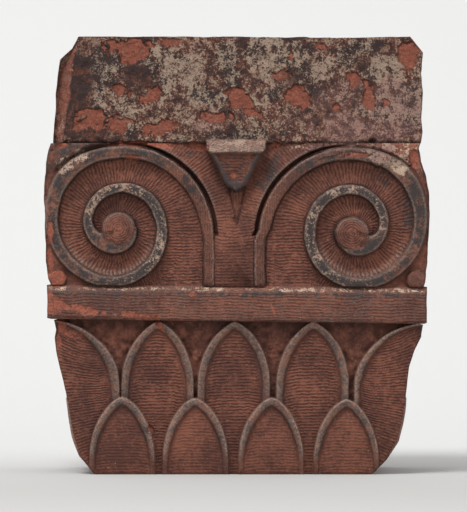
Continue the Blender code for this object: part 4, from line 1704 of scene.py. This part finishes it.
def comb_lines_group() -> bpy.types.NodeTree:
    """Build the group that turns a count of comb lines into grooves.

    Returns:
        The group.
    """
    group = NodeGroupBuilder(
        "comb_lines",
        {
            "Place": ("NodeSocketVector", None),
            "Line Count": ("NodeSocketFloat", 0.0),
            "Tooled": ("NodeSocketFloat", 1.0),
        },
        {"Groove": "NodeSocketFloat", "Ridge": "NodeSocketFloat"},
    )
    w = Wiring(group.tree)
    shake = w.noise(group.value("Place"), 210.0, 3.0, 0.62)
    phase = w.plus(group.value("Line Count"), w.times(w.minus(shake, 0.5), 1.05))
    wave = w.math("SINE", w.times(phase, 2 * math.pi))
    ridge = w.plus(w.times(wave, 0.5), 0.5)
    broken = w.step(w.noise(group.value("Place"), 125.0, 4.0, 0.75), 0.33, 0.56, 1.0, 0.12)
    cut = w.times(broken, group.value("Tooled"))
    group.out("Groove", w.times(w.math("POWER", w.minus(1.0, ridge), 1.5), cut))
    group.out("Ridge", w.times(w.math("POWER", ridge, 0.8), cut))
    return group.tree


def grain_group() -> bpy.types.NodeTree:
    """Build the group of the stone's sandy grain and its colour bands.

    Returns:
        The group.
    """
    group = NodeGroupBuilder(
        "sand_grain",
        {"Place": ("NodeSocketVector", None)},
        {
            "Tone": "NodeSocketFloat", "Speckle": "NodeSocketFloat", "Height": "NodeSocketFloat",
            "Fine": "NodeSocketFloat", "Worm": "NodeSocketFloat", "Other": "NodeSocketFloat",
        },
    )
    w = Wiring(group.tree)
    place = group.value("Place")
    fine = w.noise(place, 820.0, 2.0, 0.7)
    coarse = w.noise(place, 300.0, 4.0, 0.65)
    broad = w.noise(place, 24.0, 5.0, 0.62)
    worm = w.noise(place, 340.0, 5.0, 0.85)
    group.out("Tone", w.plus(w.times(broad, 0.55), w.times(coarse, 0.45)))
    group.out("Speckle", w.step(w.noise(place, 700.0, 1.0, 0.5), 0.745, 0.77))
    group.out("Height", w.plus(w.times(coarse, 0.65), w.times(fine, 0.35)))
    group.out("Fine", w.noise(place, 520.0, 4.0, 0.8))
    group.out("Worm", w.math("ABSOLUTE", w.times(w.minus(worm, 0.5), 2.0)))
    group.out("Other", w.noise(place, 410.0, 5.0, 0.85))
    return group.tree


@dataclass(frozen=True)
class BrownstoneFinish:
    """Weathered red-brown sandstone: tooled, sooted where it stands proud, orange where broken, with
    painted shade in grooves and hollows and painted highlights on lit edges.
    """

    body: Colour = (0.225, 0.086, 0.056, 1.0)
    deep: Colour = (0.105, 0.043, 0.033, 1.0)
    # shade colour painted into the comb grooves and the hollows
    groove: Colour = (0.046, 0.020, 0.016, 1.0)
    break_colour: Colour = (0.320, 0.104, 0.066, 1.0)
    break_deep: Colour = (0.190, 0.060, 0.040, 1.0)
    slate: Colour = (0.100, 0.074, 0.064, 1.0)
    sooty: Colour = (0.046, 0.039, 0.039, 1.0)
    pale: Colour = (0.580, 0.430, 0.320, 1.0)
    # pale dusty colour of crust, also the colour of painted highlights
    dusty_and_highlight: Colour = (0.365, 0.255, 0.205, 1.0)
    pinkish: Colour = (0.500, 0.270, 0.235, 1.0)
    roughness: float = 0.9
    bump: float = 0.0011
    wall_from: float = 0.1009
    bed_from: float = 0.4394

    def build(self) -> bpy.types.Material:
        """Build the material.

        Returns:
            The finished brownstone.
        """
        material = bpy.data.materials.new("brownstone")
        material.use_nodes = True
        tree = material.node_tree
        w = Wiring(tree)
        shader = tree.nodes["Principled BSDF"]
        place = w.node("ShaderNodeTexCoord").outputs["Object"]
        read = self.masks(w, place)
        combed = w.node("ShaderNodeGroup", node_tree=comb_lines_group())
        w.feed(combed.inputs["Place"], place)
        w.feed(combed.inputs["Line Count"], read[Mask.COMB])
        w.feed(combed.inputs["Tooled"], read[Mask.TOOLED])
        grain = w.node("ShaderNodeGroup", node_tree=grain_group())
        w.feed(grain.inputs["Place"], place)
        mottle = w.noise(place, 95.0, 6.0, 0.75)
        base = w.blend(w.step(grain.outputs["Tone"], 0.4, 0.6), self.deep, self.body)
        # painted shade in the grooves of the comb lines
        base = w.blend(w.times(combed.outputs["Groove"], 0.85), base, self.groove)
        worn = w.plus(mottle, w.times(w.minus(grain.outputs["Fine"], 0.5), 0.5))
        proud = w.times(read[Mask.PROUD], w.step(worn, 0.44, 0.56, 1.0, 0.1))
        base = w.blend(proud, base, self.slate)
        base = self.broken(w, base, read, grain, mottle)
        base = self.weather(w, base, read, grain, mottle)
        # painted highlight on lit edges, rims and comb ridges
        pale = w.times(read[Mask.EDGE], w.step(grain.outputs["Fine"], 0.4, 0.56, 1.0, 0.2))
        smooth = w.minus(1.0, w.times(read[Mask.TOOLED], 0.75))
        on_ridge = w.plus(w.times(combed.outputs["Ridge"], 0.9), smooth, clamp=True)
        base = w.blend(w.times(pale, on_ridge), base, self.dusty_and_highlight)
        # painted shade in the hollows
        base = w.blend(w.times(read[Mask.HOLLOW], 0.8, clamp=True), base, self.groove, "MIX")
        base = w.blend(w.times(grain.outputs["Speckle"], 0.4), base, self.pale)
        w.feed(shader.inputs["Base Color"], base)
        shader.inputs["Roughness"].default_value = self.roughness
        shader.inputs["Specular IOR Level"].default_value = 0.2
        pits = w.plus(grain.outputs["Other"], w.times(w.noise(place, 170.0, 5.0, 0.72), 1.6))
        gritty = w.times(w.plus(pits, mottle), read[Mask.ROUGH])
        height = w.plus(w.times(combed.outputs["Ridge"], 0.8), grain.outputs["Height"])
        height = w.plus(height, w.times(gritty, 4.5))
        bump = w.node("ShaderNodeBump")
        bump.inputs["Strength"].default_value = 1.0
        bump.inputs["Distance"].default_value = self.bump
        w.feed(bump.inputs["Height"], height)
        w.feed(shader.inputs["Normal"], bump.outputs["Normal"])
        return material

    def masks(self, w: Wiring, place: Socket) -> dict[Mask, Socket]:
        """Read the finish values, with plain ones for the flat wall side and the top bed.

        Args:
            w: Wiring of the material.
            place: Place in the object.

        Returns:
            The socket of each finish value.
        """
        split = w.node("ShaderNodeSeparateXYZ")
        w.feed(split.inputs[0], place)
        wall = w.step(split.outputs["Y"], self.wall_from, self.wall_from + 0.0004)
        bed = w.step(split.outputs["Z"], self.bed_from, self.bed_from + 0.0004)
        plane = w.math("MAXIMUM", wall, bed)
        carved = w.minus(1.0, plane)
        plain = {Mask.SOOT: 0.2, Mask.CRUST: 0.07, Mask.ROUGH: 0.35, Mask.FRESH: 0.25}
        read = {}
        for mask in Mask:
            stored = w.node("ShaderNodeAttribute", attribute_name=mask.value).outputs["Fac"]
            value = w.times(stored, carved)
            if mask in plain:
                value = w.plus(value, w.times(plane, plain[mask]))
            read[mask] = value
        return read

    def weather(
        self, w: Wiring, base: Socket, read: dict[Mask, Socket],
        grain: bpy.types.Node, mottle: Socket,
    ) -> Socket:
        """Lay soot and pale crust over the stone, each in a fine speckle.

        Args:
            w: Wiring of the material.
            base: Colour so far.
            read: Finish values.
            grain: The grain group's node.
            mottle: Noise at the size of patches.

        Returns:
            The weathered colour.
        """
        patchy = w.times(w.minus(mottle, 0.5), 1.15)
        dark = w.plus(w.times(read[Mask.SOOT], 0.28), grain.outputs["Other"])
        dark = w.step(w.plus(dark, patchy), 0.6, 0.7)
        kept = w.step(read[Mask.FRESH], 0.62, 0.8, 0.12, 1.0)
        dark = w.times(w.times(dark, kept), w.step(read[Mask.SOOT], 0.0, 0.35))
        base = w.blend(w.times(dark, 0.88), base, self.sooty)
        light = w.plus(w.times(read[Mask.CRUST], 0.2), grain.outputs["Fine"])
        light = w.step(w.minus(light, patchy), 0.58, 0.68)
        light = w.times(w.times(light, kept), w.step(read[Mask.CRUST], 0.05, 0.4))
        tint = w.blend(w.step(grain.outputs["Worm"], 0.05, 0.3), self.pale, self.dusty_and_highlight)
        tint = w.blend(w.times(read[Mask.PINK], 0.7), tint, self.pinkish)
        base = w.blend(w.times(light, 0.9), base, tint)
        blush = w.times(read[Mask.PINK], w.step(grain.outputs["Other"], 0.42, 0.6, 0.4, 0.05))
        return w.blend(blush, base, self.pinkish)

    def broken(
        self, w: Wiring, base: Socket, read: dict[Mask, Socket],
        grain: bpy.types.Node, mottle: Socket,
    ) -> Socket:
        """Show the orange-red stone where it has broken.

        Args:
            w: Wiring of the material.
            base: Colour so far.
            read: Finish values.
            grain: The grain group's node.
            mottle: Noise at the size of patches.

        Returns:
            The colour with the breaks.
        """
        raw = w.blend(
            w.step(grain.outputs["Fine"], 0.4, 0.6), self.break_deep, self.break_colour,
        )
        patchy = w.times(w.minus(mottle, 0.5), 1.5)
        bare = w.plus(w.times(read[Mask.FRESH], 0.5), patchy)
        bare = w.plus(bare, w.minus(grain.outputs["Other"], 0.5))
        bare = w.step(bare, 0.06, 0.36, 0.95)
        return w.blend(w.times(bare, w.step(read[Mask.FRESH], 0.0, 0.2)), base, raw)


@dataclass(frozen=True)
class StudioFinish:
    """The pale stage, seen from inside only."""

    wall_colour: Colour = (0.69, 0.69, 0.685, 1.0)
    # The floor is painted darker than the wall, shading over between shade_from and shade_to: painted
    # shade for the soft shadow round the stone's foot and to hold down the key light on the floor.
    floor_colour: Colour = (0.46, 0.455, 0.445, 1.0)
    shade_from: float = -0.50
    shade_to: float = 0.70

    def build(self) -> bpy.types.Material:
        """Build the material, see-through from behind.

        Returns:
            The stage's material.
        """
        material = bpy.data.materials.new("stage_paper")
        material.use_nodes = True
        w = Wiring(material.node_tree)
        shader = material.node_tree.nodes["Principled BSDF"]
        output = material.node_tree.nodes["Material Output"]
        place = w.node("ShaderNodeSeparateXYZ")
        w.feed(place.inputs[0], w.node("ShaderNodeTexCoord").outputs["Object"])
        away = w.step(place.outputs["Y"], self.shade_from, self.shade_to)
        w.feed(shader.inputs["Base Color"], w.blend(away, self.floor_colour, self.wall_colour))
        shader.inputs["Roughness"].default_value = 0.95
        shader.inputs["Specular IOR Level"].default_value = 0.1
        behind = w.node("ShaderNodeNewGeometry").outputs["Backfacing"]
        chosen = w.node("ShaderNodeMixShader")
        w.feed(chosen.inputs[0], behind)
        w.feed(chosen.inputs[1], shader.outputs[0])
        w.feed(chosen.inputs[2], w.node("ShaderNodeBsdfTransparent").outputs[0])
        w.feed(output.inputs["Surface"], chosen.outputs[0])
        return material


@dataclass(frozen=True)
class Studio:
    """Floor, backdrop, lights and camera."""

    width: float = 6.0
    front: float = -5.0
    wall: float = 1.60
    bend: float = 0.90
    top: float = 3.0
    near: float = -0.0935
    camera_away: float = 4.5
    frame_height: float = 0.512
    target: tuple[float, float] = (-0.00325, 0.220)

    def stage(self) -> bpy.types.Object:
        """Build the floor that sweeps up into a backdrop.

        Returns:
            The stage.
        """
        profile = [(self.front, 0.0), (self.wall - self.bend, 0.0)]
        for step in range(1, 13):
            angle = math.pi / 2 * step / 12
            along = self.wall - self.bend + self.bend * math.sin(angle)
            profile.append((along, self.bend * (1 - math.cos(angle))))
        profile.append((self.wall, self.top))
        mesh = bpy.data.meshes.new("stage")
        points = [(side * self.width / 2, y, z) for y, z in profile for side in (-1, 1)]
        faces = [(2 * i, 2 * i + 1, 2 * i + 3, 2 * i + 2) for i in range(len(profile) - 1)]
        mesh.from_pydata(points, [], faces)
        for polygon in mesh.polygons:
            polygon.use_smooth = True
        floor = bpy.data.objects.new("stage", mesh)
        bpy.context.scene.collection.objects.link(floor)
        mesh.materials.append(StudioFinish().build())
        return floor

    def light(self, name: str, place: tuple[float, float, float], size: float, watts: float) -> None:
        """Hang one soft light that faces the capital.

        Args:
            name: Name of the light.
            place: Where it hangs.
            size: Length of its sides.
            watts: Its power.
        """
        data = bpy.data.lights.new(name, "AREA")
        data.size = size
        data.energy = watts
        lamp = bpy.data.objects.new(name, data)
        lamp.location = place
        aim = Vector((0.0, 0.0, 0.22)) - Vector(place)
        lamp.rotation_euler = aim.to_track_quat("-Z", "Y").to_euler()
        bpy.context.scene.collection.objects.link(lamp)

    def lights(self) -> None:
        """Hang the key light and the fill, and set the pale surroundings."""
        self.light("key", (-0.85, -1.9, 3.0), 1.3, 96.0)
        self.light("fill", (1.9, -2.6, 0.9), 2.2, 16.0)
        world = bpy.data.worlds.new("surroundings")
        world.use_nodes = True
        background = world.node_tree.nodes["Background"]
        background.inputs["Color"].default_value = (1.0, 1.0, 1.0, 1.0)
        background.inputs["Strength"].default_value = 0.76
        bpy.context.scene.world = world
        bpy.context.scene.view_settings.view_transform = "Standard"

    def camera(self) -> None:
        """Place the camera square in front of the capital."""
        data = bpy.data.cameras.new("camera")
        data.sensor_width = 36.0
        data.lens = 36.0 * self.camera_away / self.frame_height
        camera = bpy.data.objects.new("camera", data)
        camera.location = (self.target[0], self.near - self.camera_away, self.target[1])
        camera.rotation_euler = (math.pi / 2, 0.0, 0.0)
        bpy.context.scene.collection.objects.link(camera)
        bpy.context.scene.camera = camera


def main() -> None:
    """Build the dressed capital in its studio."""
    logging.basicConfig(level=logging.INFO, format="%(name)s: %(message)s")
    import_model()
    stone = CarvedStone().build()
    stone.data.materials.append(BrownstoneFinish().build())
    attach(stone, "root")
    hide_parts(STONE_NODE)
    LOG.info("%s stands for %s", stone.name, STONE_NODE)
    studio = Studio()
    studio.stage()
    studio.lights()
    studio.camera()


if __name__ == "__main__":
    main()
